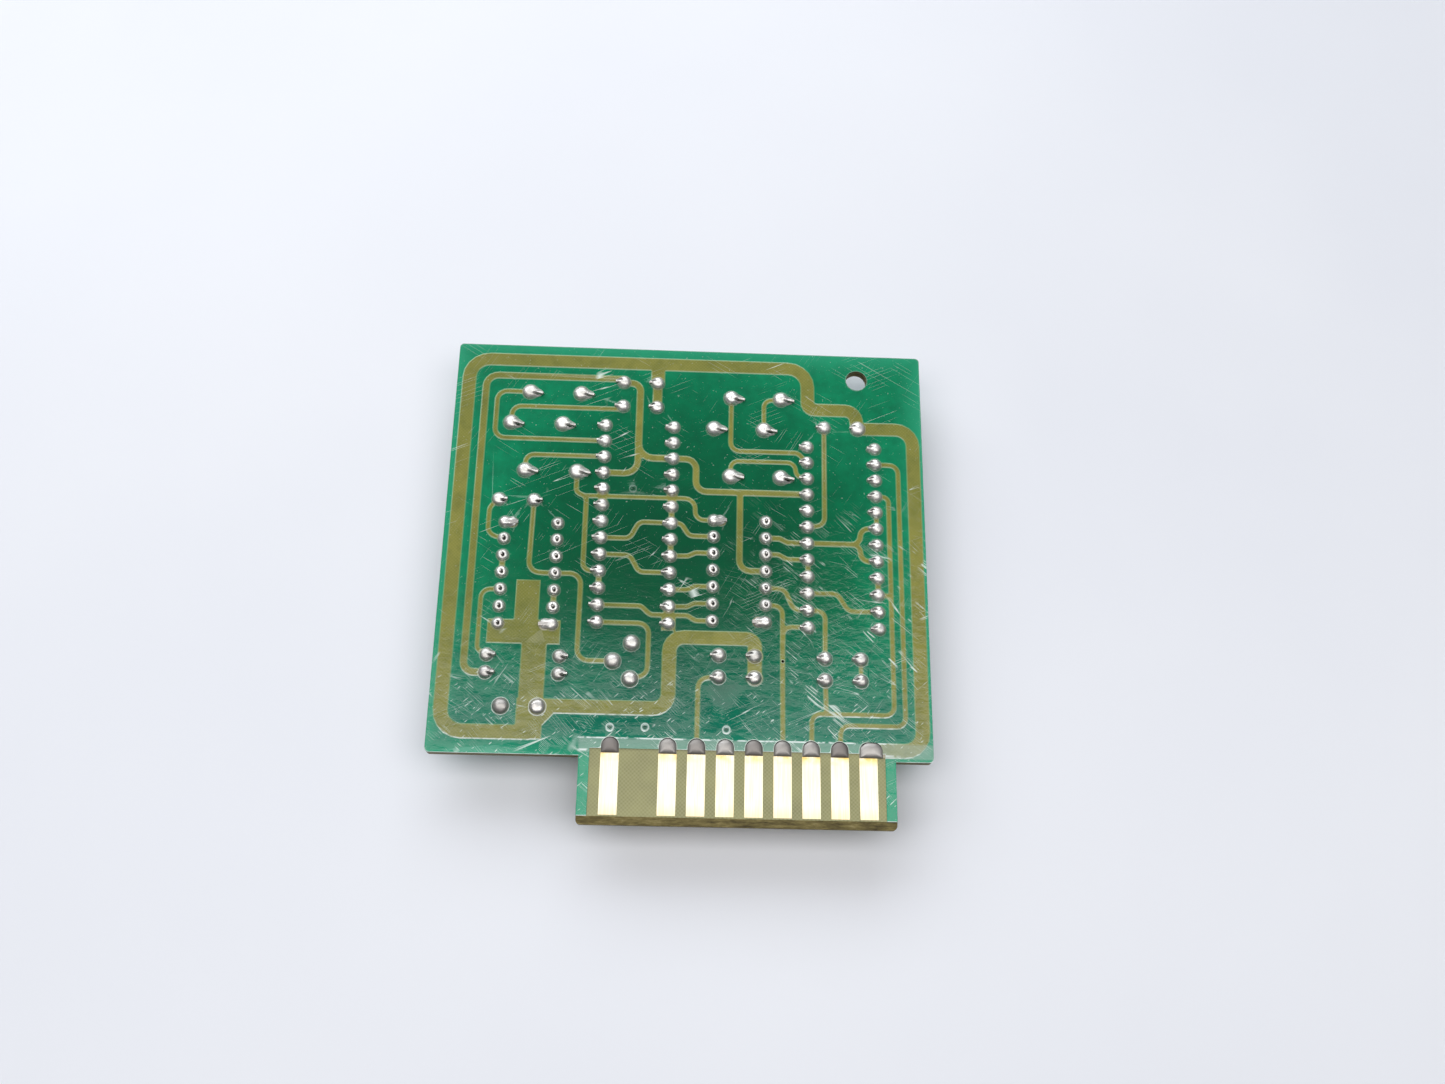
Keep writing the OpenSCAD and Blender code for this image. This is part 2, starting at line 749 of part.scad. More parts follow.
module ic_leads(p) {
    for (q = rows_down(p, ic_rows)) {
        ic_lead(q, 1);
        ic_lead(q + [dip_span, 0], -1);
    }
}

module left_ic_body() {
    color("dimgray")
        ic_body(left_ic);
}

module right_ic_body() {
    color("dimgray")
        ic_body(right_ic);
}

module left_ic_leads() {
    color("silver")
        ic_leads(left_ic);
}

module right_ic_leads() {
    color("silver")
        ic_leads(right_ic);
}

module disc_body(k) {
    p = disc_caps[k];
    translate([p.x + lead_span / 2, p.y + disc_t / 2, disc_z])
        rotate([90, 0, 0])
            cylinder(h = disc_t, d = disc_d, $fn = 64);
}

module disc_capacitor(k) {
    color("chocolate")
        disc_body(k);
}

module straight_lead(p, from_z, angle, reach) {
    translate([p.x, p.y, from_z])
        cylinder(h = pad_z - from_z, d = lead_d);
    translate([p.x, p.y, pad_z])
        lead_end(angle, reach, 0);
}

module disc_capacitor_leads() {
    color("silver")
        for (k = [0 : 3])
            difference() {
                for (p = [disc_pins[2 * k], disc_pins[2 * k + 1]])
                    straight_lead(p, disc_z + 0.4, k == 2 ? 0 : 180, resistor_reach);
                disc_body(k);
            }
}

module film_capacitor(k) {
    p = film_caps[k];
    color("firebrick")
        translate([p.x + lead_span / 2 - film_l / 2, p.y - film_t / 2, 0])
            cube([film_l, film_t, film_top_z]);
}

module film_capacitor_leads() {
    color("silver")
        for (p = film_pins)
            straight_lead(p, film_top_z, 180, resistor_reach);
}

module tantalum_capacitor() {
    r = tantalum_d / 2;
    color("darkorange")
        translate([tantalum_at.x + lead_span / 2, tantalum_at.y, 0.3])
            rotate_extrude()
                difference() {
                    union() {
                        translate([0, r])
                            circle(r);
                        translate([0, r])
                            square([r - 0.6, tantalum_h - r]);
                    }
                    translate([-r - 1, -1])
                        square([r + 1, tantalum_h + 2]);
                }
}

module tantalum_leads() {
    bend_z = 6;
    inset = 1.3;
    color("silver")
        for (side = [-1, 1]) {
            p = side < 0 ? tantalum_pins[0] : tantalum_pins[1];
            start_x = p.x - side * inset;
            translate([min(start_x, p.x), p.y, bend_z])
                rotate([0, 90, 0])
                    cylinder(h = inset, d = lead_d - 0.04);
            translate([start_x, p.y, tantalum_h + 0.3])
                cylinder(h = bend_z - tantalum_h - 0.3, d = lead_d - 0.08);
            straight_lead(p, bend_z - 0.1, 0, straight_reach);
        }
}

module transistor_body() {
    flat_x = 1.1;
    color("black")
        translate([transistor_at.x, transistor_at.y, to92_z])
            difference() {
                cylinder(h = to92_h, d = to92_d, $fn = 48);
                translate([flat_x, -to92_d, -1])
                    cube([to92_d, 2 * to92_d, to92_h + 2]);
            }
}

// A straight rod between two points
module rod(from, to, d) {
    v = to - from;
    translate(from)
        rotate([0, acos(v.z / norm(v)), atan2(v.y, v.x)])
            cylinder(h = norm(v), d = d);
}

module transistor_leads() {
    body_top = to92_z + to92_h;
    knee_z = body_top + 0.35;
    splay_z = 6.15;
    color("silver")
        for (k = [0 : 2]) {
            start = transistor_at + [0, (1 - k) * pitch / 2];
            translate([start.x, start.y, body_top])
                cylinder(h = knee_z - body_top, d = lead_d - 0.1);
            rod([start.x, start.y, knee_z - 0.1], [transistor_pins[k].x, transistor_pins[k].y, splay_z], lead_d - 0.06);
            straight_lead(transistor_pins[k], splay_z - 0.1, 0, straight_reach);
        }
}

// ---- trimming potentiometers ----

// Box centred across the trimmer, from y_low to y_high
module trim_box(k, w, y_low, y_high, z_low, z_high) {
    translate([trim_mid_x(k) - w / 2, y_low, z_low])
        cube([w, y_high - y_low, z_high - z_low]);
}

// Rod along the screw's axis
module trim_rod(k, d, y_low, y_high) {
    translate([trim_mid_x(k), y_high, screw_z])
        rotate([90, 0, 0])
            cylinder(h = y_high - y_low, d = d);
}

inner_w = trim_w - 2 * trim_wall;
cavity_back_y = trim_back_y + trim_wall + journal_l;
cavity_front_y = trim_front_y - trim_end_wall;

module trimmer_housing(k) {
    color("royalblue") {
        difference() {
            trim_box(k, trim_w, trim_back_y, trim_front_y, 0, trim_h);
            trim_box(k, inner_w, cavity_back_y, cavity_front_y, trim_wall, trim_h + 1);
            trim_rod(k, screw_neck_d + 2 * screw_fit, cavity_front_y - 1, trim_front_y + 1);
            trim_rod(k, journal_d + 2 * screw_fit, cavity_back_y - journal_l - screw_fit, cavity_back_y + 1);
        }
        for (y = [trim_back_y + 0.1, trim_front_y - 1.1])
            trim_box(k, trim_w - 0.4, y, y + 1, trim_h, trim_h + foot_h);
    }
}

// Ceramic base that closes the housing and carries the resistive track
module trimmer_element(k) {
    track_w = 0.9;
    color("whitesmoke")
        difference() {
            union() {
                trim_box(k, inner_w - clear, cavity_back_y + clear, cavity_front_y - clear, element_z, element_z + element_t);
                trim_box(k, track_w, cavity_back_y + 1, cavity_front_y - 1.4, element_z - track_h, element_z);
            }
            for (p = [trim_pin_a(k), trim_pin_b(k), trim_pin_c(k)])
                translate([p.x, p.y, element_z - 1])
                    cylinder(h = 3, d = lead_d + 2 * clear);
        }
}

module trimmer_pins(k) {
    color("silver")
        for (p = [trim_pin_a(k), trim_pin_b(k), trim_pin_c(k)])
            straight_lead(p, element_z, -10, trim_reach);
}

module trimmer_screw(k) {
    color("gold")
        difference() {
            union() {
                trim_rod(k, screw_head_d, trim_front_y + head_gap, trim_front_y + head_l);
                trim_rod(k, screw_neck_d, cavity_front_y - head_gap - 0.1, trim_front_y + head_gap + 0.1);
                trim_rod(k, collar_d, cavity_front_y - head_gap - collar_l, cavity_front_y - head_gap);
                trim_rod(k, thread_d, cavity_back_y + head_gap, cavity_front_y - head_gap - collar_l + 0.1);
                trim_rod(k, journal_d, cavity_back_y - journal_l, cavity_back_y + head_gap + 0.1);
            }
            translate([trim_mid_x(k) - slot_w / 2, trim_front_y + head_l - slot_deep, screw_z - screw_head_d])
                cube([slot_w, slot_deep + 1, 2 * screw_head_d]);
        }
}

// Nut that the screw drives along the housing, with the wiper pad on its top
module trimmer_carriage(k) {
    mid_y = (cavity_back_y + cavity_front_y - collar_l) / 2;
    low_z = trim_wall + 0.15;
    high_z = low_z + carriage_h;
    color("ivory")
        difference() {
            union() {
                trim_box(k, inner_w - 0.3, mid_y - carriage_l / 2, mid_y + carriage_l / 2, low_z, high_z);
                trim_box(k, 0.7, mid_y - 0.6, mid_y + 0.6, high_z - 0.1, element_z - track_h - 0.05);
            }
            trim_rod(k, thread_d + 2 * screw_fit, mid_y - carriage_l, mid_y + carriage_l);
        }
}

// ---- nodes ----

laminate();
solder_side_copper();
component_side_copper();
solder_side_resist();
component_side_resist();
solder_side_fingers();
component_side_fingers();
finger_tinning();
via_barrels();
resistor_solder();
ic_solder();
capacitor_solder();
trimmer_solder();
transistor_solder();
left_ic_body();
left_ic_leads();
right_ic_body();
right_ic_leads();
left_resistor_bodies();
left_resistor_leads();
right_resistor_bodies();
right_resistor_leads();
lower_resistor_bodies();
lower_resistor_leads();
for (k = [1 : 4]) {
    disc_capacitor(k - 1);
    film_capacitor(k - 1);
    trimmer_housing(k - 1);
    trimmer_element(k - 1);
    trimmer_pins(k - 1);
    trimmer_screw(k - 1);
    trimmer_carriage(k - 1);
}
disc_capacitor_leads();
film_capacitor_leads();
tantalum_capacitor();
tantalum_leads();
transistor_body();
transistor_leads();
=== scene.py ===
# %% [markdown]
# # A plug-in servo driver card, solder side up
#
# The CAD model gives every part of the card its place and size. This lesson dresses
# that frame: resist that drapes over the tracks, solder joints, gold fingers,
# and the components that the card stands on. Everything is in metres, in the CAD frame.

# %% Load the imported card
import math

import bpy
import bmesh
import numpy as np
from mathutils import Matrix, Vector
from mathutils.geometry import delaunay_2d_cdt


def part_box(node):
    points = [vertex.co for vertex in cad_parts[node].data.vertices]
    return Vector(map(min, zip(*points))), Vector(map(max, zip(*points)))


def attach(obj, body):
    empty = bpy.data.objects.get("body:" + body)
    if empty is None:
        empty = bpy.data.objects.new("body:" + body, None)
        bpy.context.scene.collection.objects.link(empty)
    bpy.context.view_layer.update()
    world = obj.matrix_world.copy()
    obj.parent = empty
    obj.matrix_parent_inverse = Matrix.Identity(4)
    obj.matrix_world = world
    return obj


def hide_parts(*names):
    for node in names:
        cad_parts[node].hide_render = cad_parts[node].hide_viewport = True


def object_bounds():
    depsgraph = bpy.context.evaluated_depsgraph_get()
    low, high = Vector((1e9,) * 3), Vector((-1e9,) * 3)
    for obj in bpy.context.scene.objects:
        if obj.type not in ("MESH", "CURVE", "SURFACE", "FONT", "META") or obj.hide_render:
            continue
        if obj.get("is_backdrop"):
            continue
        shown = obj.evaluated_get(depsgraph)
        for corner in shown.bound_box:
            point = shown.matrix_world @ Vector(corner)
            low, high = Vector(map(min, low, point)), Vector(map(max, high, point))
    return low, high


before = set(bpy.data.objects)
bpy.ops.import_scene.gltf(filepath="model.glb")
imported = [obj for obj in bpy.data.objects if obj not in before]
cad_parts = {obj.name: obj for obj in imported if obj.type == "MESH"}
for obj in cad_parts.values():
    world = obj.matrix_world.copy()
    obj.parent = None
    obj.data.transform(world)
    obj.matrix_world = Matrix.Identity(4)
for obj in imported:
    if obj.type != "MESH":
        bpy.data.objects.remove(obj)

MM = 0.001
cad_box = [list(corner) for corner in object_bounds()]
print("CAD box, mm:", [[round(v / MM, 2) for v in corner] for corner in cad_box])

# %% [markdown]
# Heights are read from the nodes. The laminate gives its two faces, and each side's copper
# gives the level that the tracks reach.

# %% Levels of the card
LAMINATE_LOW, LAMINATE_TOP = (corner.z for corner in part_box("laminate"))
COPPER_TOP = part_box("solder_side_copper")[1].z
COPPER_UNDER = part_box("component_side_copper")[0].z
FINGER_TOP_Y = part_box("solder_side_fingers")[1].y
TONGUE_END_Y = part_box("laminate")[0].y
print("laminate %.2f to %.2f mm high" % (LAMINATE_LOW / MM, LAMINATE_TOP / MM))


# %% Objects and meshes
def stand(name, data):
    """An object for a mesh, a lamp or a camera, in the scene."""
    thing = bpy.data.objects.new(name, data)
    bpy.context.scene.collection.objects.link(thing)
    return thing


def mesh_of(name, points, faces, marks=None):
    """A mesh from points and faces, with a value on each point for every mark."""
    mesh = bpy.data.meshes.new(name)
    mesh.from_pydata([tuple(p) for p in points], [], faces)
    for mark, values in (marks or {}).items():
        mesh.attributes.new(mark, "FLOAT", "POINT").data.foreach_set("value", np.array(values, np.float32))
    return mesh


# %% [markdown]
# ## Camera and lamps
#
# The camera stands over the connector end and looks down at about seventy degrees, with a
# slight roll, as a hand-held camera has. One wide soft lamp overhead makes the glare on
# the connector third of the card; its far edge decides where the glare stops. A second
# lamp lights the far side of every bump.

# %% Camera
CAMERA_AT = Vector((-1.862, -58.252, 188.563)) * MM
LOOK = Vector((0.03730, 0.33078, -0.94297)).normalized()
RIGHT = Vector((0.99889, 0.01471, 0.04467)).normalized()
camera_data = bpy.data.cameras.new("camera")
camera_data.lens, camera_data.sensor_width = 32.79, 36.0
camera_data.clip_start, camera_data.clip_end = 0.005, 10.0
camera = stand("camera", camera_data)
turned = Matrix((RIGHT, (-LOOK).cross(RIGHT), -LOOK)).transposed().to_4x4()
camera.matrix_world = Matrix.Translation(CAMERA_AT) @ turned
bpy.context.scene.camera = camera
print("camera %.0f mm above the table" % (CAMERA_AT.z / MM))


# %% Lamps
def soft_lamp(name, place, aim, size, watts, colour):
    lamp = bpy.data.lights.new(name, "AREA")
    lamp.shape, lamp.size, lamp.size_y = "RECTANGLE", size[0], size[1]
    lamp.energy, lamp.color = watts, colour
    thing = stand(name, lamp)
    away = (Vector(place) - Vector(aim)).normalized()
    thing.rotation_euler = away.to_track_quat("Z", "Y").to_euler()
    thing.location = place


WARM, COOL, WATTS = (1.0, 0.99, 0.97), (0.93, 0.97, 1.0), 2.6
soft_lamp("ceiling_light", (0.02, -0.065, 0.55), (0.02, -0.065, 0.0), (1.0, 0.37), WATTS, WARM)
soft_lamp("window_light", (-0.15, 0.46, 0.38), (0.0, 0.0, 0.0), (0.8, 0.35), WATTS, COOL)

bpy.context.scene.view_settings.view_transform = "Standard"
print("two lamps")

# %% [markdown]
# ## Shader maths as plain Python
#
# A finish is a small program. Wrapping a socket in a class that knows how to add,
# multiply and compare lets the recipe read like one: `1 - mask * 0.3` puts two Math
# nodes in the tree and joins them. Colours are mixed, never added with Math nodes.


# %% A socket that does arithmetic
class Signal:
    def __init__(self, tree, out):
        self.tree, self.out = tree, out

    def maths(self, operation, *others, clamp=False):
        node = self.tree.nodes.new("ShaderNodeMath")
        node.operation, node.use_clamp = operation, clamp
        for plug, value in zip(node.inputs, (self, *others)):
            plug_in(self.tree, plug, value)
        return Signal(self.tree, node.outputs[0])

    def flipped(self, operation, other):
        node = self.tree.nodes.new("ShaderNodeMath")
        node.operation = operation
        plug_in(self.tree, node.inputs[0], other)
        plug_in(self.tree, node.inputs[1], self)
        return Signal(self.tree, node.outputs[0])

    def __add__(self, other):
        return self.maths("ADD", other)

    def __sub__(self, other):
        return self.maths("SUBTRACT", other)

    def __mul__(self, other):
        return self.maths("MULTIPLY", other)

    def __truediv__(self, other):
        return self.maths("DIVIDE", other)

    def __rsub__(self, other):
        return self.flipped("SUBTRACT", other)

    __radd__, __rmul__ = __add__, __mul__

    def __abs__(self):
        return self.maths("ABSOLUTE")

    def above(self, low, high):
        """0 below low, 1 above high, and straight in between."""
        return (self - low).maths("DIVIDE", high - low, clamp=True)

    def power(self, exponent):
        return self.maths("POWER", exponent)


def plug_in(tree, plug, value):
    if isinstance(value, Signal):
        tree.links.new(value.out, plug)
    else:
        plug.default_value = value


# %% A finish, which is one material
class Finish:
    def __init__(self, name, owner=None):
        self.material = owner or bpy.data.materials.new(name)
        self.material.use_nodes = True
        self.tree = self.material.node_tree
        self.tree.nodes.clear()

    def node(self, kind, settings, sockets, out=0):
        """Adds a node: its settings first, then its sockets, and gives back one output."""
        node = self.tree.nodes.new(kind)
        for key, value in settings.items():
            if key == "stops":
                ramp = node.color_ramp
                while len(ramp.elements) < len(value):
                    ramp.elements.new(1.0)
                for stop, (place, colour) in zip(ramp.elements, value):
                    stop.position, stop.color = place, (*colour, 1.0)
            elif key == "interpolation":
                node.color_ramp.interpolation = value
            else:
                setattr(node, key, value)
        for key, value in sockets.items():
            plug_in(self.tree, node.inputs[key], value)
        return Signal(self.tree, node.outputs[out])

    def place(self, turn=(0, 0, 0), stretch=(1, 1, 1)):
        """Object coordinates in millimetres, turned and stretched."""
        here = self.node("ShaderNodeTexCoord", {}, {}, "Object")
        size = tuple(s / MM for s in stretch)
        turned = self.node("ShaderNodeMapping", {}, {"Vector": here, "Rotation": turn})
        return self.node("ShaderNodeVectorMath", {"operation": "MULTIPLY"}, {0: turned, 1: size})

    def axis(self, name, vector):
        return self.node("ShaderNodeSeparateXYZ", {}, {"Vector": vector}, name)

    def facing(self, name, kind="Normal"):
        """How far the surface faces along an axis, from -1 to 1."""
        return self.axis(name, self.node("ShaderNodeNewGeometry", {}, {}, kind))

    def noise(self, where, scale, detail=2.0, rough=0.5):
        return self.node("ShaderNodeTexNoise", {"normalize": True}, {
            "Vector": where, "Scale": scale, "Detail": detail, "Roughness": rough})

    def mark(self, name):
        """A value that the mesh carries."""
        return self.node("ShaderNodeAttribute", {"attribute_name": name}, {}, "Fac")

    def ramp(self, value, stops, interpolation="LINEAR"):
        settings = {"stops": stops, "interpolation": interpolation}
        return self.node("ShaderNodeValToRGB", settings, {"Fac": value})

    def blend(self, share, first, second):
        node = self.tree.nodes.new("ShaderNodeMix")
        node.data_type = "RGBA"
        for index, value in ((0, share), (6, first), (7, second)):
            if isinstance(value, tuple):
                value = (*value, 1.0)
            plug_in(self.tree, node.inputs[index], value)
        return Signal(self.tree, node.outputs[2])

    def bump(self, height, depth, strength=1.0):
        """Depth in millimetres of relief for a height from 0 to 1."""
        sockets = {"Height": height, "Distance": depth * MM, "Strength": strength}
        return self.node("ShaderNodeBump", {}, sockets, "Normal")

    def surface(self, **sockets):
        """The Principled shader. Numbers go on its own sockets."""
        shader = self.tree.nodes.new("ShaderNodeBsdfPrincipled")
        for key, value in sockets.items():
            if isinstance(value, tuple):
                value = (*value, 1.0)
            plug_in(self.tree, shader.inputs[key.replace("_", " ")], value)
        output = self.tree.nodes.new("ShaderNodeOutputMaterial")
        self.tree.links.new(shader.outputs["BSDF"], output.inputs["Surface"])
        return self.material


def srgb(hex_code):
    """A colour written as on a paint card, as the linear numbers that shaders use."""
    parts = [int(hex_code[k:k + 2], 16) / 255 for k in (1, 3, 5)]
    return tuple(c / 12.92 if c <= 0.04045 else ((c + 0.055) / 1.055) ** 2.4 for c in parts)


def one_noise(name, scale, detail, light, dark, gloss, relief=0.0, fine=None, span=None,
              stretch=(1, 1, 1), **rest):
    """A finish in two tones: tint, gloss (share, base) and relief in mm follow one noise.

    With fine, the relief has a noise (scale, detail) of its own. With span, the tint goes
    from light to dark inside that range only.
    """
    finish = Finish(name)
    where = finish.place(stretch=stretch)
    grain = finish.noise(where, scale, detail)
    if relief:
        rest["Normal"] = finish.bump(finish.noise(where, *fine) if fine else grain, relief)
    tint = grain.above(*span) if span else grain
    finish.surface(Base_Color=finish.blend(tint, srgb(light), srgb(dark)),
                   Roughness=grain * gloss[0] + gloss[1], **rest)
    return finish


print("khaki laminate in linear light:", [round(c, 3) for c in srgb("#A8A573")])

# %% [markdown]
# ## The sky
#
# The same class builds the world: a dim sky, brighter overhead and behind the card than
# towards the camera, so that the near flanks of the solder joints mirror darkness.

# %% Sky
sky = Finish("dim_sky", bpy.data.worlds.new("dim_sky"))
direction = sky.node("ShaderNodeTexCoord", {}, {}, "Generated")
brightness = (sky.axis("Z", direction) * 0.1 + sky.axis("Y", direction) * 0.1 + 0.08).maths("MAXIMUM", 0.03)
background = sky.node("ShaderNodeBackground", {}, {"Color": (0.86, 0.9, 1.0, 1.0), "Strength": brightness})
world_output = sky.tree.nodes.new("ShaderNodeOutputWorld")
sky.tree.links.new(background.out, world_output.inputs["Surface"])
bpy.context.scene.world = sky.material
print("sky ready")

# %% [markdown]
# ## The table
#
# A large pale sheet with a soft gloss, so that it takes the lamps' broad reflections.

# %% Table
table_finish = Finish("table_finish")
where = table_finish.place()
table_finish.surface(
    Base_Color=table_finish.blend(table_finish.noise(where, 0.012, 3.0), srgb("#E6E8F0"), srgb("#F2F3F8")),
    Roughness=table_finish.noise(where, 0.05, 4.0).maths("MULTIPLY_ADD", 0.2, 0.3),
    Specular_IOR_Level=0.4,
)
half = 1.2
corners = [(-half, -half, 0), (half, -half, 0), (half, half, 0), (-half, half, 0)]
table = stand("table", mesh_of("table", corners, [(0, 1, 2, 3)]))
table.data.materials.append(table_finish.material)
table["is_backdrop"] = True
print("table %.1f m square" % (2 * half))

# %% [markdown]
# ## Finishes of the bare card
#
# The laminate is glass cloth in yellowish resin: a faint square weave on its faces, and
# brown, layered fibres wherever a saw or a bevel cutter went through it. The normal
# tells a face from a cut. Copper and gold are metals with a little tarnish and wear.

# %% Laminate finish
WEAVE_PITCH = 0.55


def weave(finish, pitch):
    """Two crossing sets of threads, from 0 in the gaps to 1 on the threads."""
    where = finish.place()
    x = finish.axis("X", where) + finish.noise(where, 0.8) * 0.12
    y = finish.axis("Y", where) + finish.noise(where, 0.9) * 0.12
    turn = 2 * math.pi / pitch
    across, along = (x * turn).maths("SINE"), (y * turn).maths("SINE")
    return (across * along) * 0.5 + 0.5


laminate_finish = Finish("laminate_finish")
where = laminate_finish.place()
threads = weave(laminate_finish, WEAVE_PITCH)
clouds = laminate_finish.noise(where, 0.25, 4.0)
up_face = abs(laminate_finish.facing("Z"))
cut = 1 - up_face.above(0.93, 0.99)
layers = laminate_finish.noise(laminate_finish.place(stretch=(0.5, 0.5, 7.0)), 1.0, 4.0, 0.7)
face_colour = laminate_finish.blend(clouds.above(0.25, 0.75), srgb("#7F7D4E"), srgb("#98955F"))
face_colour = laminate_finish.blend(threads * 0.35, face_colour, srgb("#B9B68A"))
edge_colour = laminate_finish.ramp(layers, [
    (0.3, srgb("#3E3418")), (0.48, srgb("#6E6236")), (0.6, srgb("#877A48")), (0.75, srgb("#A99C6C"))])
laminate_finish.surface(
    Base_Color=laminate_finish.blend(cut, face_colour, edge_colour),
    Roughness=cut * 0.35 + 0.32,
    Specular_IOR_Level=0.5,
    Normal=laminate_finish.bump(threads * (1 - cut) * 0.3 + layers * cut, 0.03, 0.7),
)
print("laminate weave %.2f mm" % WEAVE_PITCH)

# %% Copper, gold and their wear
copper_finish = one_noise("copper_finish", 0.6, 5.0, "#B8713F", "#7A4A2C", (0.3, 0.25), 0.004,
                          fine=(9.0, 3.0), Metallic=1.0)

gold_finish = Finish("gold_finish")
where = gold_finish.place()
wiped = gold_finish.noise(gold_finish.place(stretch=(6.0, 0.25, 1.0)), 1.0, 3.0)
y = gold_finish.axis("Y", where)
low_end = 1 - y.above(TONGUE_END_Y / MM + 1.2, TONGUE_END_Y / MM + 3.0)
stained = y.above(FINGER_TOP_Y / MM - 1.2, FINGER_TOP_Y / MM)
# Painted highlight: the gold's light tones are nearly white, as the lamp's glare that washes over the
# fingers.
warm = gold_finish.blend(wiped.above(0.3, 0.8), srgb("#FFF6DE"), srgb("#F8E6B8"))
warm = gold_finish.blend(stained * gold_finish.noise(where, 0.7).above(0.35, 0.6), warm, srgb("#E8C46A"))
gold_finish.surface(
    Base_Color=gold_finish.blend(low_end * 0.5, warm, srgb("#D9BE84")),
    Metallic=0.86,
    Roughness=wiped * 0.16 + 0.3,
    Normal=gold_finish.bump(wiped, 0.002),
)


# %% Dress the CAD nodes that keep their shape
def dress(finish, *nodes):
    for name in nodes:
        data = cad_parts[name].data
        data.materials.clear()
        data.materials.append(finish.material)


tinned_finish = Finish("tinned_copper_finish")
where = tinned_finish.place()
tinned_finish.surface(
    Base_Color=tinned_finish.blend(tinned_finish.noise(where, 1.2, 3.0), srgb("#B9B4A6"), srgb("#8B8470")),
    Metallic=0.9,
    Roughness=tinned_finish.noise(where, 3.0, 2.0) * 0.3 + 0.3,
)
dress(laminate_finish, "laminate")
dress(copper_finish, "via_barrels")
dress(tinned_finish, "solder_side_copper", "component_side_copper")
dress(gold_finish, "solder_side_fingers", "component_side_fingers")
print("six flat nodes dressed")

# %% [markdown]
# ## Solder resist that drapes over the tracks
#
# On the real card the green lacquer is one thin coat. It lies low on the laminate, climbs
# a track's edge, and runs flat along the track, which is what makes the tracks read as
# soft ridges. A flat sheet with a bump could only fake that. Here the sheet is cut into
# triangles along the tracks' own outlines, with a few lines parallel to each edge, and
# every corner is lifted by its distance from the copper. The CAD nodes carry both outlines.


# %% Outlines of a flat CAD node
def outline(node, side):
    """Directed edges (n, 2, 2) in mm round a flat node's outer faces, the material on their left."""
    mesh = bmesh.new()
    mesh.from_mesh(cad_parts[node].data)
    bmesh.ops.remove_doubles(mesh, verts=mesh.verts, dist=0.001 * MM)
    level = max(side * v.co.z for v in mesh.verts)
    edges = {}
    for face in mesh.faces:
        if all(abs(side * v.co.z - level) < 0.002 * MM for v in face.verts):
            for loop in face.loops:
                edges[loop.vert.index, loop.link_loop_next.vert.index] = loop
    rim = [(a, b) for a, b in edges if (b, a) not in edges]
    mesh.verts.ensure_lookup_table()
    flat = np.array([v.co.xy for v in mesh.verts]) / MM
    mesh.free()
    pairs = np.array(rim if side > 0 else [(b, a) for a, b in rim])
    return flat[pairs]


# %% Inside tests and distances, many points at once
def inside(points, edges):
    """True where a point is inside the outline, by counting crossings."""
    result = np.zeros(len(points), bool)
    (ax, ay), (bx, by) = edges[:, 0].T, edges[:, 1].T
    order = np.argsort(np.minimum(ay, by))
    ax, ay, bx, by = ax[order], ay[order], bx[order], by[order]
    slope = (bx - ax) / np.where(by == ay, 1.0, by - ay)
    for start in range(0, len(points), 2000):
        px, py = points[start:start + 2000].T
        py = py[:, None]
        crosses = ((ay > py) != (by > py)) & (px[:, None] < ax + (py - ay) * slope)
        result[start:start + 2000] = crosses.sum(1) % 2 == 1
    return result


def distance(points, edges):
    """Distance from each point to the nearest edge."""
    result = np.empty(len(points))
    start, step = edges[:, 0], edges[:, 1] - edges[:, 0]
    length = np.maximum((step ** 2).sum(1), 1e-12)
    for first in range(0, len(points), 1500):
        some = points[first:first + 1500, None]
        along = np.clip(((some - start) * step).sum(2) / length, 0, 1)[..., None]
        result[first:first + 1500] = np.sqrt(((some - start - along * step) ** 2).sum(2)).min(1)
    return result


# %% Lines parallel to an outline
def parallel(edges, gap):
    """The same edges moved outwards by gap."""
    key = np.round(edges, 3)
    step = edges[:, 1] - edges[:, 0]
    out = np.stack([step[:, 1], -step[:, 0]], 1) / np.maximum(np.linalg.norm(step, axis=1), 1e-9)[:, None]
    total = {}
    for ends, normal in zip(key, out):
        for end in ends:
            total[tuple(end)] = total.get(tuple(end), 0) + normal
    moved = np.empty_like(edges)
    for row, (ends, normal) in enumerate(zip(key, out)):
        for col, end in enumerate(ends):
            mean = total[tuple(end)]
            mean = mean / max(np.linalg.norm(mean), 1e-6)
            moved[row, col] = edges[row, col] + mean * gap / max(mean @ normal, 0.7)
    return moved


# %% Drape one coat of resist, all in mm
CLIMB = 0.13  # the coat starts to climb this far outside a track
RINGS = (-0.15, -0.08, 0.0, 0.07, CLIMB, 0.17)  # lines parallel to a track's edge
FILM = 0.03  # thickness of the coat
LIP, LIP_AT, LIP_REACH = 0.055, 0.05, 0.08  # swelling along the rim: height, place, half width
VIA_RINGS = (0.12, 0.26, 0.38, 0.5, 0.66)  # rings cut round a covered via
VIA_CAP, VIA_RIM, VIA_RISE = 0.45, 0.5, 0.07  # its flat, and the radius and height of its rim
FLOOD = (0.1, 2.15)  # the thick band above the fingers, from and to, above their upper ends
FLOOD_LEFT, FLOOD_RIGHT = -14.0, 34.0
FLOOD_RISE, FLOOD_SLOPE = 0.05, 0.16
WIDE_FACE = 0.06  # square mm; wider faces carry no lip, or it would show as a wedge


def circle(centre, radius, count=20):
    """Edges round a centre."""
    turns = 2 * math.pi * np.arange(count) / count
    rim = centre + radius * np.stack([np.cos(turns), np.sin(turns)], 1)
    return np.stack([rim, np.roll(rim, -1, axis=0)], 1)


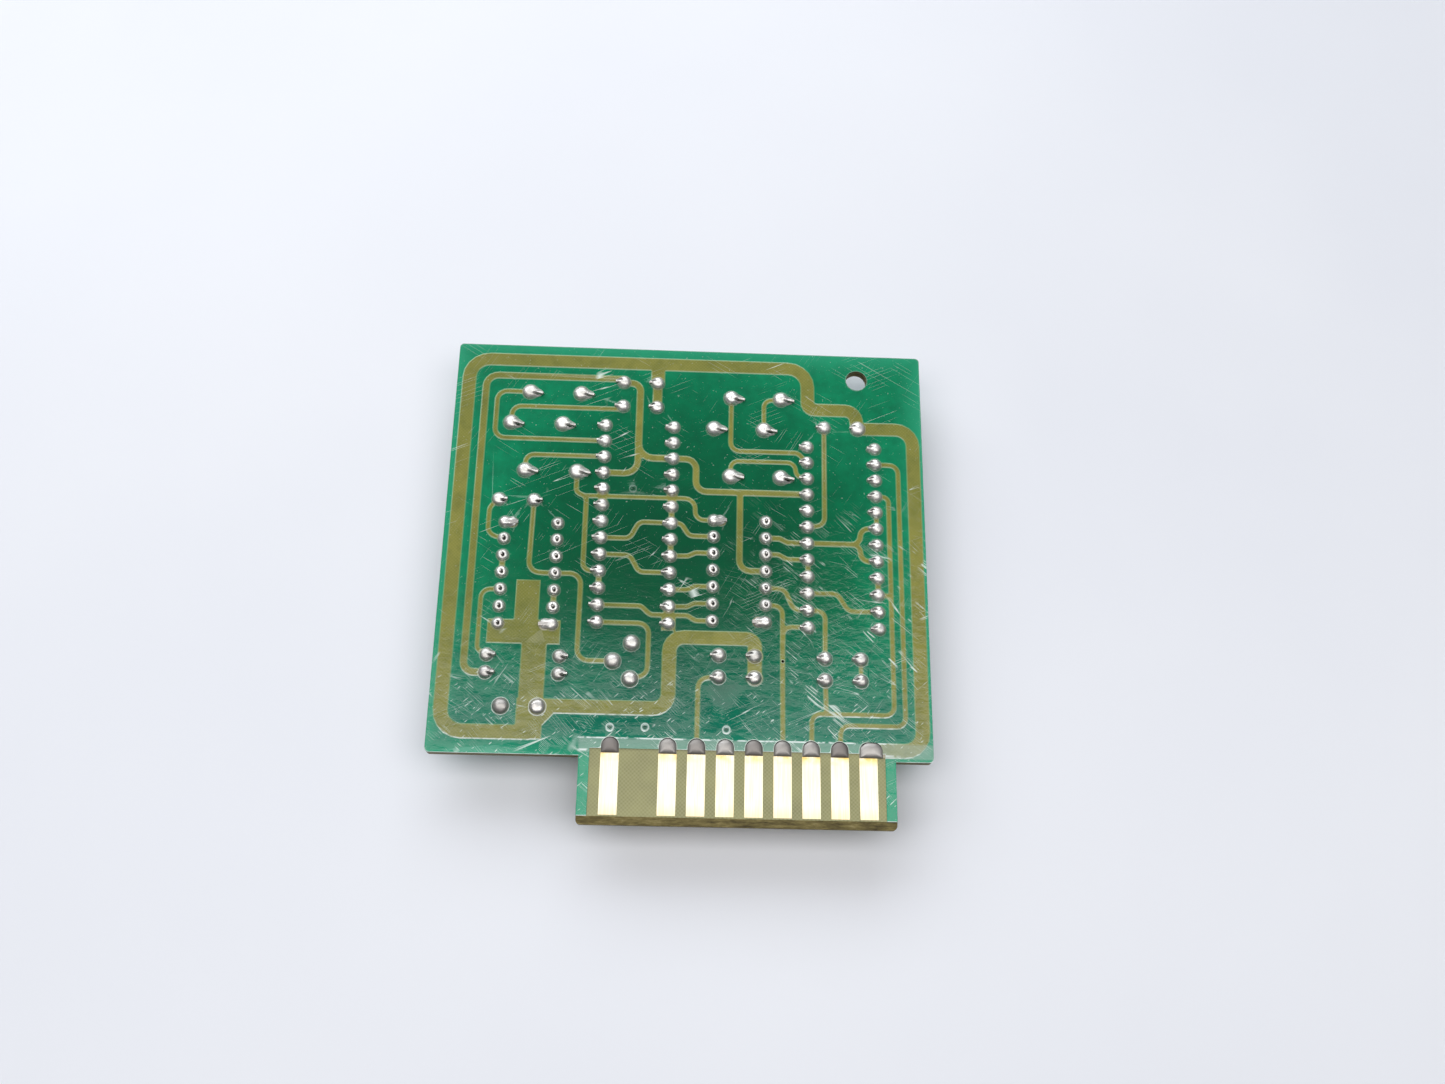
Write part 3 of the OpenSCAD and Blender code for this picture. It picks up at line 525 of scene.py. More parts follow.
def keep_flats_flat(mesh, heights):
    """Marks the edges between level and sloping faces, so that flats shade as flats."""
    mesh.update()
    level = [np.ptp(heights[list(face.vertices)]) < 1e-7 for face in mesh.polygons]
    sides = {}
    for face, flat_here in zip(mesh.polygons, level):
        for key in face.edge_keys:
            sides.setdefault(key, []).append(flat_here)
    sharp = [len(set(sides[edge.key])) > 1 for edge in mesh.edges]
    mesh.attributes.new("sharp_edge", "BOOLEAN", "EDGE").data.foreach_set("value", sharp)


def resist_coat(face, side, copper_level, laminate_level, tented):
    """The coat of one face of the card: side is 1 upwards, -1 downwards."""
    copper, area = outline(face + "_copper", side), outline(face + "_resist", side)
    flood_level = FINGER_TOP_Y / MM + FLOOD[1]
    middles = copper.mean(1)
    near = inside(middles, area) | (distance(middles, area) < 0.02)
    tracks = copper[near]
    lines = [area] + [parallel(tracks, gap) for gap in RINGS]
    lines += [parallel(area, -gap) for gap in (LIP_AT, LIP_AT + LIP_REACH)]
    lines += [circle(via, radius) for via in tented for radius in VIA_RINGS]
    if side > 0:
        lines += [np.array([[[FLOOD_LEFT, level], [FLOOD_RIGHT, level]]])
                  for level in flood_level + np.array([-FLOOD_SLOPE, 0.0])]
    points = np.concatenate(lines).reshape(-1, 2)
    unique, index = np.unique(np.round(points, 3), axis=0, return_inverse=True)
    pairs = index.reshape(-1, 2)
    pairs = pairs[pairs[:, 0] != pairs[:, 1]]
    found = delaunay_2d_cdt([Vector(p) for p in unique.tolist()], pairs.tolist(), [], 0, 1e-4)
    flat = np.array([v[:] for v in found[0]])
    triangles = np.array(found[2])
    triangles = triangles[inside(flat[triangles].mean(1), area)]
    used, triangles = np.unique(triangles, return_inverse=True)
    flat, triangles = flat[used], triangles.reshape(-1, 3)

    away = distance(flat, tracks) * np.where(inside(flat, copper), -1, 1)
    climb = np.clip((CLIMB - away) / (CLIMB + 0.08), 0, 1)
    climb = climb * climb * (3 - 2 * climb)
    foil = abs(copper_level - laminate_level) / MM
    rim_gap = distance(flat, area)
    lip = np.clip(1 - abs(rim_gap - LIP_AT) / LIP_REACH, 0, 1)
    lift = LIP * lip * (side > 0)
    flooded = np.clip((flood_level - flat[:, 1]) / FLOOD_SLOPE, 0, 1)
    lift += FLOOD_RISE * (flooded * (flat[:, 0] > FLOOD_LEFT - 0.1) * (side > 0))
    hollow = np.zeros(len(flat))
    for via in tented:
        reach = np.linalg.norm(flat - via, axis=1)
        lift += VIA_RISE * np.clip(1 - abs(reach - VIA_RIM) / 0.2, 0, 1)
        lip = np.maximum(lip, np.clip(1 - abs(reach - VIA_RIM) / 0.16, 0, 1))
        hollow = np.maximum(hollow, np.clip(1.3 - reach / 0.3, 0, 1))
        climb = np.where(reach < VIA_CAP, 1.0, climb)
    top = laminate_level + side * (FILM + foil * climb + lift) * MM
    under = np.where(away <= 1e-4, np.maximum(foil, FILM + foil * climb - FILM), foil * climb)
    under = laminate_level + side * np.minimum(under, FILM + foil * climb - 0.004) * MM

    count = len(flat)
    spots = np.column_stack([np.tile(flat * MM, (2, 1)), np.concatenate([top, under])])
    outer = triangles if side > 0 else triangles[:, ::-1]
    inner = outer[:, ::-1] + count
    directed = {(a, b) for tri in outer.tolist() for a, b in zip(tri, tri[1:] + tri[:1])}
    rim = [(a, b) for a, b in directed if (b, a) not in directed]
    walls = [(b, a, a + count, b + count) for a, b in sorted(rim)]
    # Two of these marks only steer painted light: a sheen along each track's edge and shade over each
    # covered via's hole.
    mesh = mesh_of("resist_" + face, spots, outer.tolist() + inner.tolist() + walls, {
        "over_copper": np.tile(np.clip(0.5 - away / 0.1, 0, 1), 2),
        "shoulder": np.tile(np.clip(1 - abs(away - 0.02) / 0.13, 0, 1), 2),
        "hollow": np.tile(hollow, 2)})
    first, second, third = (flat[triangles[:, corner]] for corner in range(3))
    (ux, uy), (vx, vy) = (second - first).T, (third - first).T
    narrow = abs(ux * vy - uy * vx) / 2 < WIDE_FACE
    on_corners = np.zeros(len(mesh.loops), np.float32)
    on_corners[:3 * len(outer)] = (lip[outer] * narrow[:, None]).ravel()
    mesh.attributes.new("lip", "FLOAT", "CORNER").data.foreach_set("value", on_corners)
    smooth = np.zeros(len(mesh.polygons), bool)
    smooth[:2 * len(outer)] = True
    mesh.polygons.foreach_set("use_smooth", smooth)
    keep_flats_flat(mesh, spots[:, 2])
    print(mesh.name, "triangles:", 2 * len(outer) + 2 * len(walls))
    return stand(mesh.name, mesh)


# %% [markdown]
# ### The green of the resist
#
# Clear green lacquer looks dark over bare glass cloth and olive over copper. Its colour is
# painted darker in the middle, as the shade of the components under the card, and brighter
# towards the card's edges, as the light that comes in through the laminate. A long life in a
# rack adds hairline scratches, painted white as the glints they catch, most of them on the
# connector third, where the lamp's glare lies; the coat itself is wavy there, so it breaks up
# the lamp's glare.
#
# Part of that glare is painted: the white on the near slopes of the tracks, on the swollen
# rims, along the band above the fingers and round the covered vias is in the colour, so it
# stays white from every side and in any light.

# %% Scratches, waves, and painted edge light and middle shade
resist = Finish("resist_finish")
where = resist.place()
x, y = resist.axis("X", where), resist.axis("Y", where)


def scratches(finish, angle, spread, width, seed):
    """Long straight hairlines at one angle, broken off at random."""
    turned = finish.place(turn=(0, 0, math.radians(angle)), stretch=(0.018, spread, 0.0))
    moved = finish.node("ShaderNodeVectorMath", {"operation": "ADD"}, {0: turned, 1: (seed, seed, seed)})
    lines = finish.noise(moved, 1.0, 0.0)
    gate = finish.noise(finish.place(stretch=(0.11, 0.11, 0.0)), 1.0 + 0.13 * seed, 1.0)
    return (1 - (abs(lines - 0.5) / width).maths("MINIMUM", 1.0)) * gate.above(0.57, 0.63)


HALF_WIDTH, FAR_EDGE, SHOULDER = 35.0, 35.75, -26.5  # of the card's body, in mm
edge_x = HALF_WIDTH - abs(x)
edge_y = (FAR_EDGE - y).maths("MINIMUM", y - SHOULDER)
to_edge = edge_x.maths("MINIMUM", edge_y)
# Painted light: the green is made brighter near the card's edges, standing for light that comes in through
# the laminate.
painted_edge_light = 1 - to_edge.above(-0.5, 4.5)
patches = resist.noise(where, 0.055, 3.0, 0.6)
fine_patches = resist.noise(where, 0.5, 5.0, 0.65)
# Painted shade: the green is darker round the middle of the card, as the shade of the components under it,
# and lighter outwards.
middle = ((x * x) * 0.0011 + (y - 4) * (y - 4) * 0.0011).maths("MINIMUM", 1.0)
green = resist.ramp(middle * 0.55 + patches * 0.55, [
    (0.2, srgb("#004D2E")), (0.42, srgb("#005E3A")), (0.62, srgb("#007048")), (0.85, srgb("#0C885C"))])
green = resist.blend(fine_patches.above(0.35, 0.75) * 0.45, green, srgb("#00452F"))
green = resist.blend((1 - y.above(-26.0, -4.0)) * 0.6, green, srgb("#006058"))
green = resist.blend(painted_edge_light.power(1.6) * 0.85, green, srgb("#33A47C"))

# %% Olive over the copper, and the finished coat
print_through = weave(resist, 0.5)
olive = resist.blend(patches.above(0.3, 0.7), srgb("#6C7336"), srgb("#8C8B44"))
olive = resist.blend(print_through * 0.35, olive, srgb("#A39C56"))
olive = resist.blend(fine_patches.above(0.45, 0.8) * 0.5, olive, srgb("#525E2C"))
coat = resist.blend(resist.mark("over_copper"), green, olive)
# Painted highlight: a pale sheen along both sides of every track's edge.
coat = resist.blend(resist.mark("shoulder") * 0.4, coat, srgb("#A9BE84"))
low_zone = 1 - y.above(-20.0, -9.0)
up_side = resist.facing("Z").above(0.0, 0.2)
near_slope = (resist.facing("Y", "True Normal") * -1.0).above(0.1, 0.28) * up_side
broken = resist.noise(where, 0.9, 3.0).above(0.38, 0.5)
finger_top = FINGER_TOP_Y / MM
band_top = finger_top + FLOOD[1]
in_band = x.above(FLOOD_LEFT - 0.3, FLOOD_LEFT)
flood = (1 - y.above(band_top - 0.3, band_top)) * y.above(finger_top - 0.1, finger_top + FLOOD[0])
flood = flood * in_band * up_side
upper_line = 1 - abs(y - (band_top - 0.1)).above(0.05, 0.16)
lower_line = 1 - abs(y - (finger_top + 0.35)).above(0.08, 0.2)
LINES_FADE = (28.0, 31.0)  # the two lines end here, before the card's corner
flood_lines = upper_line.maths("MAXIMUM", lower_line) * in_band * (1 - x.above(*LINES_FADE))
coat = resist.blend(flood * 0.4, coat, srgb("#A9BDB2"))
# Painted shade: the coat is darkened over the hole of each covered via.
coat = resist.blend(resist.mark("hollow") * 0.8, coat, srgb("#03301F"))
gleam = near_slope * (low_zone * 0.9 + 0.1) * (broken * 0.6 + 0.3)
gleam = gleam.maths("MAXIMUM", resist.mark("lip") * (low_zone * 0.6 + 0.15) * up_side)
gleam = gleam.maths("MAXIMUM", flood_lines * broken * 0.85 * up_side)
coat = resist.blend(gleam, coat, srgb("#EAF3EF"))
# Painted glints: short white dashes on the waves of the coat, in the lamp's glare near the connector.
slanted = resist.place(turn=(0, 0, math.radians(-40)), stretch=(0.9, 4.5, 1.0))
painted_glint_dashes = resist.noise(slanted, 1.0, 0.0).above(0.75, 0.79) * low_zone * broken * 0.8
# More scratches, painted white as the glints they catch, and deeper waves lie on the connector third and on
# the right below the middle, where the lamp's glare lies.
worn_and_glinting_end = (1 - y.above(-24.0, -8.0)).maths("MAXIMUM", x.above(4.0, 16.0) * (1 - y.above(2.0, 14.0)))
SCRATCHES = (  # angle in degrees, spread, width, seed, strength
    (-24, 1.1, 0.007, 1.0, 1.0), (31, 0.8, 0.006, 4.0, 0.7), (-58, 0.9, 0.004, 7.0, 0.6),
    (12, 1.3, 0.006, 9.0, worn_and_glinting_end), (48, 1.6, 0.014, 13.0, worn_and_glinting_end), (40, 2.6, 0.03, 17.0, worn_and_glinting_end))
lines = sum(scratches(resist, *row) * share for *row, share in SCRATCHES).maths("MINIMUM", 1.0)
lines = lines.maths("MAXIMUM", painted_glint_dashes) * (up_side * 0.8 + 0.2)
dust = resist.noise(where, 3.2, 2.0).above(0.7, 0.76)
# These white marks are scratches and specks of dust, painted white, together with the painted glints.
marks = (lines * 0.9 + dust * 0.3).maths("MINIMUM", 1.0)
ripples = resist.noise(resist.place(stretch=(0.55, 0.9, 1.0)), 1.0, 3.0, 0.55)
pores = resist.noise(where, 4.5, 3.0)
resist.surface(
    Base_Color=resist.blend(marks * 0.9, coat, srgb("#E6F2EA")),
    Roughness=marks * 0.3 + fine_patches * 0.1 + 0.07,
    Specular_IOR_Level=0.42,
    Coat_Weight=0.06,
    Coat_Roughness=0.05,
    Normal=resist.bump(ripples * (worn_and_glinting_end * 0.45 + 0.15) + pores * 0.06 - lines * 0.06, 0.2),
)
print("resist scratches at", [row[0] for row in SCRATCHES], "degrees")

# %% Both coats
mesh = bmesh.new()
mesh.from_mesh(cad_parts["via_barrels"].data)
wall = np.array([v.co.xy for v in mesh.verts]) / MM
mesh.free()
vias = []
while len(wall):
    nearby = np.linalg.norm(wall - wall[0], axis=1) < 1.2
    vias.append((wall[nearby].min(0) + wall[nearby].max(0)) / 2)
    wall = wall[~nearby]
resist_rim = outline("solder_side_resist", 1).mean(1)
tented_vias = [via for via in vias if np.linalg.norm(resist_rim - via, axis=1).min() > 0.5]
print(len(vias), "vias,", len(tented_vias), "of them under the coat")
for face, *sizes in (("solder_side", 1, COPPER_TOP, LAMINATE_TOP, tented_vias),
                     ("component_side", -1, COPPER_UNDER, LAMINATE_LOW, ())):
    coat = resist_coat(face, *sizes)
    coat.data.materials.append(resist.material)
    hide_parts(face + "_resist")
    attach(coat, "board")

# %% [markdown]
# ## A way to make what repeats
#
# The card has over a hundred solder joints, dozens of bent wires and twenty-seven
# resistors. Each kind is one small shape and a rule for placing it, which is what
# Geometry Nodes do well. A recipe is a node tree with named inputs; cooking it
# gives a plain mesh, so that nothing procedural is left on a finished piece.


# %% Recipes
class Recipe(Finish):
    def __init__(self, name, **inputs):
        self.tree = bpy.data.node_groups.new(name, "GeometryNodeTree")
        self.tree.is_modifier = True
        for key, kind in {"Geometry": "Geometry", **inputs}.items():
            self.tree.interface.new_socket(name=key, in_out="INPUT", socket_type="NodeSocket" + kind)
        self.tree.interface.new_socket(name="Geometry", in_out="OUTPUT", socket_type="NodeSocketGeometry")
        self.start = self.tree.nodes.new("NodeGroupInput")

    def given(self, name):
        return Signal(self.tree, self.start.outputs[name])

    def serve(self, geometry):
        """Ends the recipe: real mesh, one material."""
        real = self.node("GeometryNodeRealizeInstances", {}, {"Geometry": geometry})
        sockets = {"Geometry": real, "Material": self.given("Material")}
        painted = self.node("GeometryNodeSetMaterial", {}, sockets)
        end = self.tree.nodes.new("NodeGroupOutput")
        self.tree.links.new(painted.out, end.inputs["Geometry"])

    def cook(self, thing, **values):
        """Runs the recipe on an object, takes the mesh, and throws the object away."""
        modifier = thing.modifiers.new("recipe", "NODES")
        modifier.node_group = self.tree
        for item in self.tree.interface.items_tree:
            if item.in_out == "INPUT" and item.name in values:
                modifier[item.identifier] = values[item.name]
        graph = bpy.context.evaluated_depsgraph_get()
        mesh = bpy.data.meshes.new_from_object(thing.evaluated_get(graph))
        thing.modifiers.remove(modifier)
        bpy.data.objects.remove(thing)
        return mesh


def as_piece(name, body, slot_name, replaced, *meshes, finish):
    """Joins meshes into one finished piece that stands for a CAD node."""
    joined = bmesh.new()
    for mesh in meshes:
        joined.from_mesh(mesh)
    result = bpy.data.meshes.new(name)
    joined.to_mesh(result)
    joined.free()
    for mesh in meshes:
        bpy.data.meshes.remove(mesh)
    result.materials.clear()
    result.materials.append(finish.material)
    result.polygons.foreach_set("use_smooth", [True] * len(result.polygons))
    thing = stand(name, result)
    result.set_sharp_from_angle(angle=math.radians(50))
    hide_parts(replaced)
    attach(thing, body)
    return thing


# %% Where the parts of a CAD node are
def islands(node):
    """Boxes (low, high), in mm, of a node's separate solids."""
    mesh = bmesh.new()
    mesh.from_mesh(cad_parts[node].data)
    bmesh.ops.remove_doubles(mesh, verts=mesh.verts, dist=0.001 * MM)
    seen, boxes = set(), []
    for first in mesh.verts:
        if first.index in seen:
            continue
        heap, group = [first], []
        seen.add(first.index)
        while heap:
            vert = heap.pop()
            group.append(vert.co)
            for edge in vert.link_edges:
                other = edge.other_vert(vert)
                if other.index not in seen:
                    seen.add(other.index)
                    heap.append(other)
        group = np.array(group) / MM
        boxes.append((group.min(0), group.max(0)))
    mesh.free()
    return sorted(boxes, key=lambda box: (round(box[0][0], 1), -box[0][1]))


def above_copper(*nodes):
    """The points of the leads that stand above the card, in mm."""
    points = np.concatenate([[v.co[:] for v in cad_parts[n].data.vertices] for n in nodes]) / MM
    return points[points[:, 2] > COPPER_TOP / MM + 0.02]


print("resistor joints:", len(islands("resistor_solder")))

# %% [markdown]
# ## Solder
#
# Wave-soldered joints are bright, slightly frosted pillows of tin and lead. Older ones go
# grey in patches, and the ones by the connector have been touched up and are darker.
# The metal stays a metal: only its tint, its gloss and a fine grain change over it; the near black in the
# sag beside each lead is painted shade.

# %% Solder and tinned wire
solder_finish = Finish("solder_finish")
where = solder_finish.place()
grey = solder_finish.noise(where, 0.35, 3.0)
grain = solder_finish.noise(where, 7.0, 4.0, 0.6)
touched_up = 1 - solder_finish.axis("Y", where).above(-20.0, -6.0)
one = solder_finish.mark("pick")
tin = solder_finish.blend(grey.above(0.35, 0.7), srgb("#F4F2EE"), srgb("#D5D1CB"))
tin = solder_finish.blend(touched_up * (one * 0.5 + 0.25), tin, srgb("#8E8884"))
tin = solder_finish.blend(grain.above(0.6, 0.8) * 0.3, tin, srgb("#8A837C"))
# Painted shade: near black in each joint's sag beside its lead and along the upper rim of each pillow.
tin = solder_finish.blend(solder_finish.mark("pit").above(0.25, 0.7), tin, srgb("#17130F"))
solder_finish.surface(
    Base_Color=tin,
    Metallic=0.84,
    Roughness=one * 0.14 + grain * 0.16 + 0.26,
    Normal=solder_finish.bump(grain, 0.012),
)

wire_finish = Finish("wire_finish")
where = wire_finish.place()
dull = wire_finish.noise(where, 1.4, 3.0)
cut_end = abs(wire_finish.facing("X")).above(0.97, 0.99)
bright = wire_finish.blend(dull, srgb("#DAD7D3"), srgb("#A8A39D"))
wire_finish.surface(
    Base_Color=wire_finish.blend(cut_end * 0.5, bright, srgb("#8A6242")),
    Metallic=0.95,
    Roughness=dull * 0.25 + 0.18,
    Normal=wire_finish.bump(wire_finish.noise(where, 11.0, 2.0), 0.006),
)
print("solder and wire finishes ready")

# %% [markdown]
# ### One joint
#
# A joint is a dome over a round pad, with a swelling where the bent-over lead lies under
# it. Seen from above, each ring of its mesh is a circle, so height is the only thing
# to work out: the higher of the dome and the swelling, rounded where they meet.


# %% Joint shape
JOINT_RINGS = (0.2, 0.38, 0.54, 0.68, 0.8, 0.9, 0.96, 1.0)
JOINT_TURNS = 26


def circle_reach(angles, offset, size):
    """How far rays from the origin run to leave a circle on the X axis; 0 where they miss it."""
    across = offset * np.sin(angles)
    edge = offset * np.cos(angles) + np.sqrt(np.maximum(size ** 2 - across ** 2, 0))
    return np.where(abs(across) < size, edge, 0.0)


def joint(name, radius, height, lead=0.0, crater=0.0, bulge=None):
    """A solder joint round the origin, in mm.

    lead is how far a bent-over lead runs along +X, crater is the depth of the sag beside
    an upright one, and bulge is (place, size) of a second swelling on +X.
    """
    angles = np.linspace(0, 2 * math.pi, JOINT_TURNS, endpoint=False)
    reach = np.full(JOINT_TURNS, float(radius))
    for share in np.linspace(0, 1, 8) if lead else ():
        reach = np.maximum(reach, circle_reach(angles, share * lead, radius + share * (0.4 - radius)))
    if bulge:
        reach = np.maximum(reach, circle_reach(angles, *bulge))
        reach = (reach + (np.roll(reach, 1) + np.roll(reach, -1)) / 2) / 2
    points = [(0.0, 0.0, height)]
    for ring in JOINT_RINGS:
        for angle, far in zip(angles, reach):
            points.append((ring * far * math.cos(angle), ring * far * math.sin(angle), 0.0))
    points = np.array(points)
    x, y = points[:, 0], points[:, 1]
    ring = np.concatenate([[0.0], np.repeat(JOINT_RINGS, JOINT_TURNS)])
    span = np.hypot(x, y) / radius
    dome = height * np.maximum(1 - np.minimum(span, 1) ** 2.5, 0) ** 0.55
    skirt = 0.1 * np.maximum(1 - ring ** 4, 0)
    ridge = 0.0 * x
    if lead:
        far = np.clip((lead + 0.42 - x) / 0.25, 0, 1) ** 0.5
        ridge = 0.67 * np.exp(-(abs(y) / 0.4) ** 2.6) * np.clip((x + 0.3) / 0.4, 0, 1) * far * (ring < 0.99)
    if bulge:
        ridge = np.exp(-((x - bulge[0]) ** 2 + y ** 2) / (0.7 * bulge[1]) ** 2)
        ridge = height * 0.9 * ridge * (ring < 0.99)
    height_here = np.maximum(np.log(np.exp(9 * dome) + np.exp(9 * ridge) - 1) / 9, skirt)
    # pit shapes the sag and is also kept as a mark, by which the solder finish paints shade into it.
    pit = 0.0 * x
    if lead:
        pit = np.exp(-((x - 0.3 - 0.4 * lead) / (0.3 + 0.2 * lead)) ** 2 - ((y + 0.28) / 0.15) ** 2)
        height_here -= 0.25 * pit
    if bulge:
        pit = np.exp(-((x - bulge[0]) / 0.5) ** 2 - ((y + 0.05) / 0.14) ** 2)
        height_here -= 0.2 * pit
    if crater:
        pit = np.exp(-((x - 0.1) ** 2 / 0.26 ** 2 + (y + 0.08) ** 2 / 0.4 ** 2))
        height_here -= crater * pit
    pit *= ring < 0.9
    points[:, 2] = np.maximum(height_here, 0) * (ring < 0.999)
    count = JOINT_TURNS
    faces = [(0, 1 + k, 1 + (k + 1) % count) for k in range(count)]
    for r in range(len(JOINT_RINGS) - 1):
        low, high = 1 + r * count, 1 + (r + 1) * count
        faces += [(low + k, high + k, high + (k + 1) % count, low + (k + 1) % count) for k in range(count)]
    rim = 1 + (len(JOINT_RINGS) - 1) * count
    faces.append(tuple(rim + k for k in reversed(range(count))))
    return mesh_of(name, points * MM, faces, marks={"pit": pit})


# %% [markdown]
# ### Placing joints
#
# No two real joints are quite alike. The recipe puts one shape on each point, turned the
# way that its lead was bent, and then shifts the points of the result by a noise that
# reads their place on the card, so every joint gets lumps of its own.

# %% Joint recipe
scatter = Recipe("scatter", Shape="Object", Lumps="Float", Jitter="Float", Swell="Float",
                 Seed="Int", Material="Material")


def drawn(low, high, seed):
    """A random number for each copy."""
    sockets = {2: low, 3: high, "Seed": seed}
    return scatter.node("FunctionNodeRandomValue", {"data_type": "FLOAT"}, sockets, 1)


turn = scatter.node("GeometryNodeInputNamedAttribute", {"data_type": "FLOAT"}, {"Name": "turn"})
jitter = drawn(-1.0, 1.0, scatter.given("Seed"))
swell = drawn(-1.0, 0.0, scatter.given("Seed") + 7)
rotation = scatter.node("ShaderNodeCombineXYZ", {}, {"Z": turn + jitter * scatter.given("Jitter")})
height = swell * scatter.given("Swell") + 1.0
size = scatter.node("ShaderNodeCombineXYZ", {}, {"X": 1.0, "Y": 1.0, "Z": height})
shape = scatter.node("GeometryNodeObjectInfo", {}, {"Object": scatter.given("Shape")}, "Geometry")
placed = scatter.node("GeometryNodeInstanceOnPoints", {}, {
    "Points": scatter.given("Geometry"), "Instance": shape, "Rotation": rotation, "Scale": size})
pick = drawn(0.0, 1.0, scatter.given("Seed") + 3)
picked = scatter.node("GeometryNodeStoreNamedAttribute", {"data_type": "FLOAT", "domain": "INSTANCE"}, {
    "Geometry": placed, "Name": "pick", "Value": pick})
real = scatter.node("GeometryNodeRealizeInstances", {}, {"Geometry": picked})
spot = scatter.node("GeometryNodeInputPosition", {}, {})
wobble = scatter.node("ShaderNodeTexNoise", {}, {"Vector": spot, "Scale": 900.0, "Detail": 1.0}, 1)
push = scatter.node("ShaderNodeVectorMath", {"operation": "SUBTRACT"}, {0: wobble, 1: (0.5, 0.5, 0.5)})
lift = (scatter.axis("Z", spot) / MM - COPPER_TOP / MM).above(0.02, 0.5) * scatter.given("Lumps")
push = scatter.node("ShaderNodeVectorMath", {"operation": "SCALE"}, {0: push, "Scale": lift})
lumpy = scatter.node("GeometryNodeSetPosition", {}, {"Geometry": real, "Offset": push})
scatter.serve(lumpy)


def scattered(shape_mesh, centres, turns, level, lumps=0.22, jitter=0.14, swell=0.08, *, seed,
              finish=solder_finish):
    """The mesh of one shape at many places, each turned by its own angle."""
    model = stand("one_" + shape_mesh.name, shape_mesh)
    points = [(c[0] * MM, c[1] * MM, level) for c in centres]
    host = stand("hosts", mesh_of("hosts", points, [], marks={"turn": turns}))
    mesh = scatter.cook(host, Shape=model, Lumps=lumps * MM, Jitter=jitter, Swell=swell,
                        Seed=seed, Material=finish.material)
    bpy.data.objects.remove(model)
    return mesh


# %% [markdown]
# ### Reading the pads
#
# Each CAD solid of solder gives a pad's centre and radius. The points of the leads that
# stand above the card show which way each lead was bent, and how far it reaches.


# %% Pads and bends
def pads(node, *lead_nodes):
    """(centre, radius, bend angle, reach) of each joint of a solder node, in mm and radians."""
    tips = above_copper(*lead_nodes)
    rows = []
    for low, high in islands(node):
        radius = (high[1] - low[1]) / 2
        centre = (low + high)[:2] / 2
        if high[0] - low[0] > 2 * radius + 0.3:
            inward = 1 if min(abs(centre[0] - c) for c in IC_LEFT_ROWS) < 1.2 else -1
            centre[0] = low[0] + radius if inward > 0 else high[0] - radius
            rows.append((centre, radius, 0.0 if inward > 0 else math.pi, 1.9))
            continue
        step = tips[:, :2] - centre
        near = step[(abs(step[:, 1]) < 0.75) & (abs(step[:, 0]) < 2.4)]
        far = near[np.argmax(abs(near[:, 0]))]
        reach = float(abs(far[0]))
        middle = near[abs(near[:, 0]) > reach - 0.05].mean(0)
        rows.append((centre, radius, math.atan2(middle[1], middle[0]) if reach > 0.7 else 0.0, reach))
    return rows


IC_LEFT_ROWS = [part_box(n + "_ic_body")[0].x / MM - 0.635 for n in ("left", "right")]
resistor_pads = pads("resistor_solder", *[bank + "_resistor_leads" for bank in ("left", "right", "lower")])
capacitor_pads = pads("capacitor_solder", "disc_capacitor_leads", "film_capacitor_leads", "tantalum_leads")
trimmer_pads = pads("trimmer_solder", *["trimmer_%d_pins" % k for k in range(1, 5)])
transistor_pads = pads("transistor_solder", "transistor_leads")
ic_pads = pads("ic_solder", "left_ic_leads", "right_ic_leads")
bent_over = resistor_pads + capacitor_pads + trimmer_pads
print("bends, degrees:", sorted({round(math.degrees(p[2])) for p in bent_over}))

# %% Resistor, capacitor, trimmer and transistor joints
JOINT_STYLES = {"resistor": 0.72, "capacitor": 0.74, "trimmer": 0.8, "transistor": 0.82}


def set_on(rows, shape_mesh, seed):
    """One joint shape on each of some pads."""
    return scattered(shape_mesh, [row[0] for row in rows], [row[2] for row in rows], COPPER_TOP, seed=seed)


def joint_meshes(rows, height, seed):
    """One mesh for each pad radius and kind of lead."""
    groups = {}
    for row in rows:
        lead = round(max(row[3] - 0.3, 0.0), 1) if row[3] > 0.9 else 0.0
        groups.setdefault((round(row[1], 2), lead), []).append(row)
    for (radius, lead), members in sorted(groups.items()):
        shape_mesh = joint("joint", radius, height, lead)
        yield set_on(members, shape_mesh, seed)


for seed, (kind, rows) in enumerate((
        ("resistor", resistor_pads), ("capacitor", capacitor_pads),
        ("trimmer", trimmer_pads), ("transistor", transistor_pads))):
    piece = as_piece(kind + "_joints", "board", "solder", kind + "_solder",
                     *joint_meshes(rows, JOINT_STYLES[kind], seed), finish=solder_finish)
    print(piece.name, len(rows), "joints,", len(piece.data.polygons), "faces")

# %% [markdown]
# The IC leads are flat and stand straight up, so their joints sag beside the tip. Two
# corner leads of each IC are bent over to hold it, and their joints run inwards.

# %% IC joints
straight = [p for p in ic_pads if p[3] < 1.5]
bent = [p for p in ic_pads if p[3] > 1.5]
STRAIGHT_SHAPE = joint("straight", 0.88, 0.72, crater=0.2)
BENT_SHAPE = joint("bent", 0.88, 0.66, bulge=(1.0, 0.8))
meshes = [set_on([(centre, radius, 0.0) for centre, radius, *_ in straight], STRAIGHT_SHAPE, 11),
          set_on(bent, BENT_SHAPE, 12)]
as_piece("ic_joints", "board", "solder", "ic_solder", *meshes, finish=solder_finish)
print("IC joints:", len(straight), "straight and", len(bent), "bent")

# %% [markdown]
# ### Tinning above the fingers
#
# Solder crept up to the resist on the land above each gold finger and froze as a small
# arch-shaped pillow. The one at the ground finger also covers the start of the ground bar.


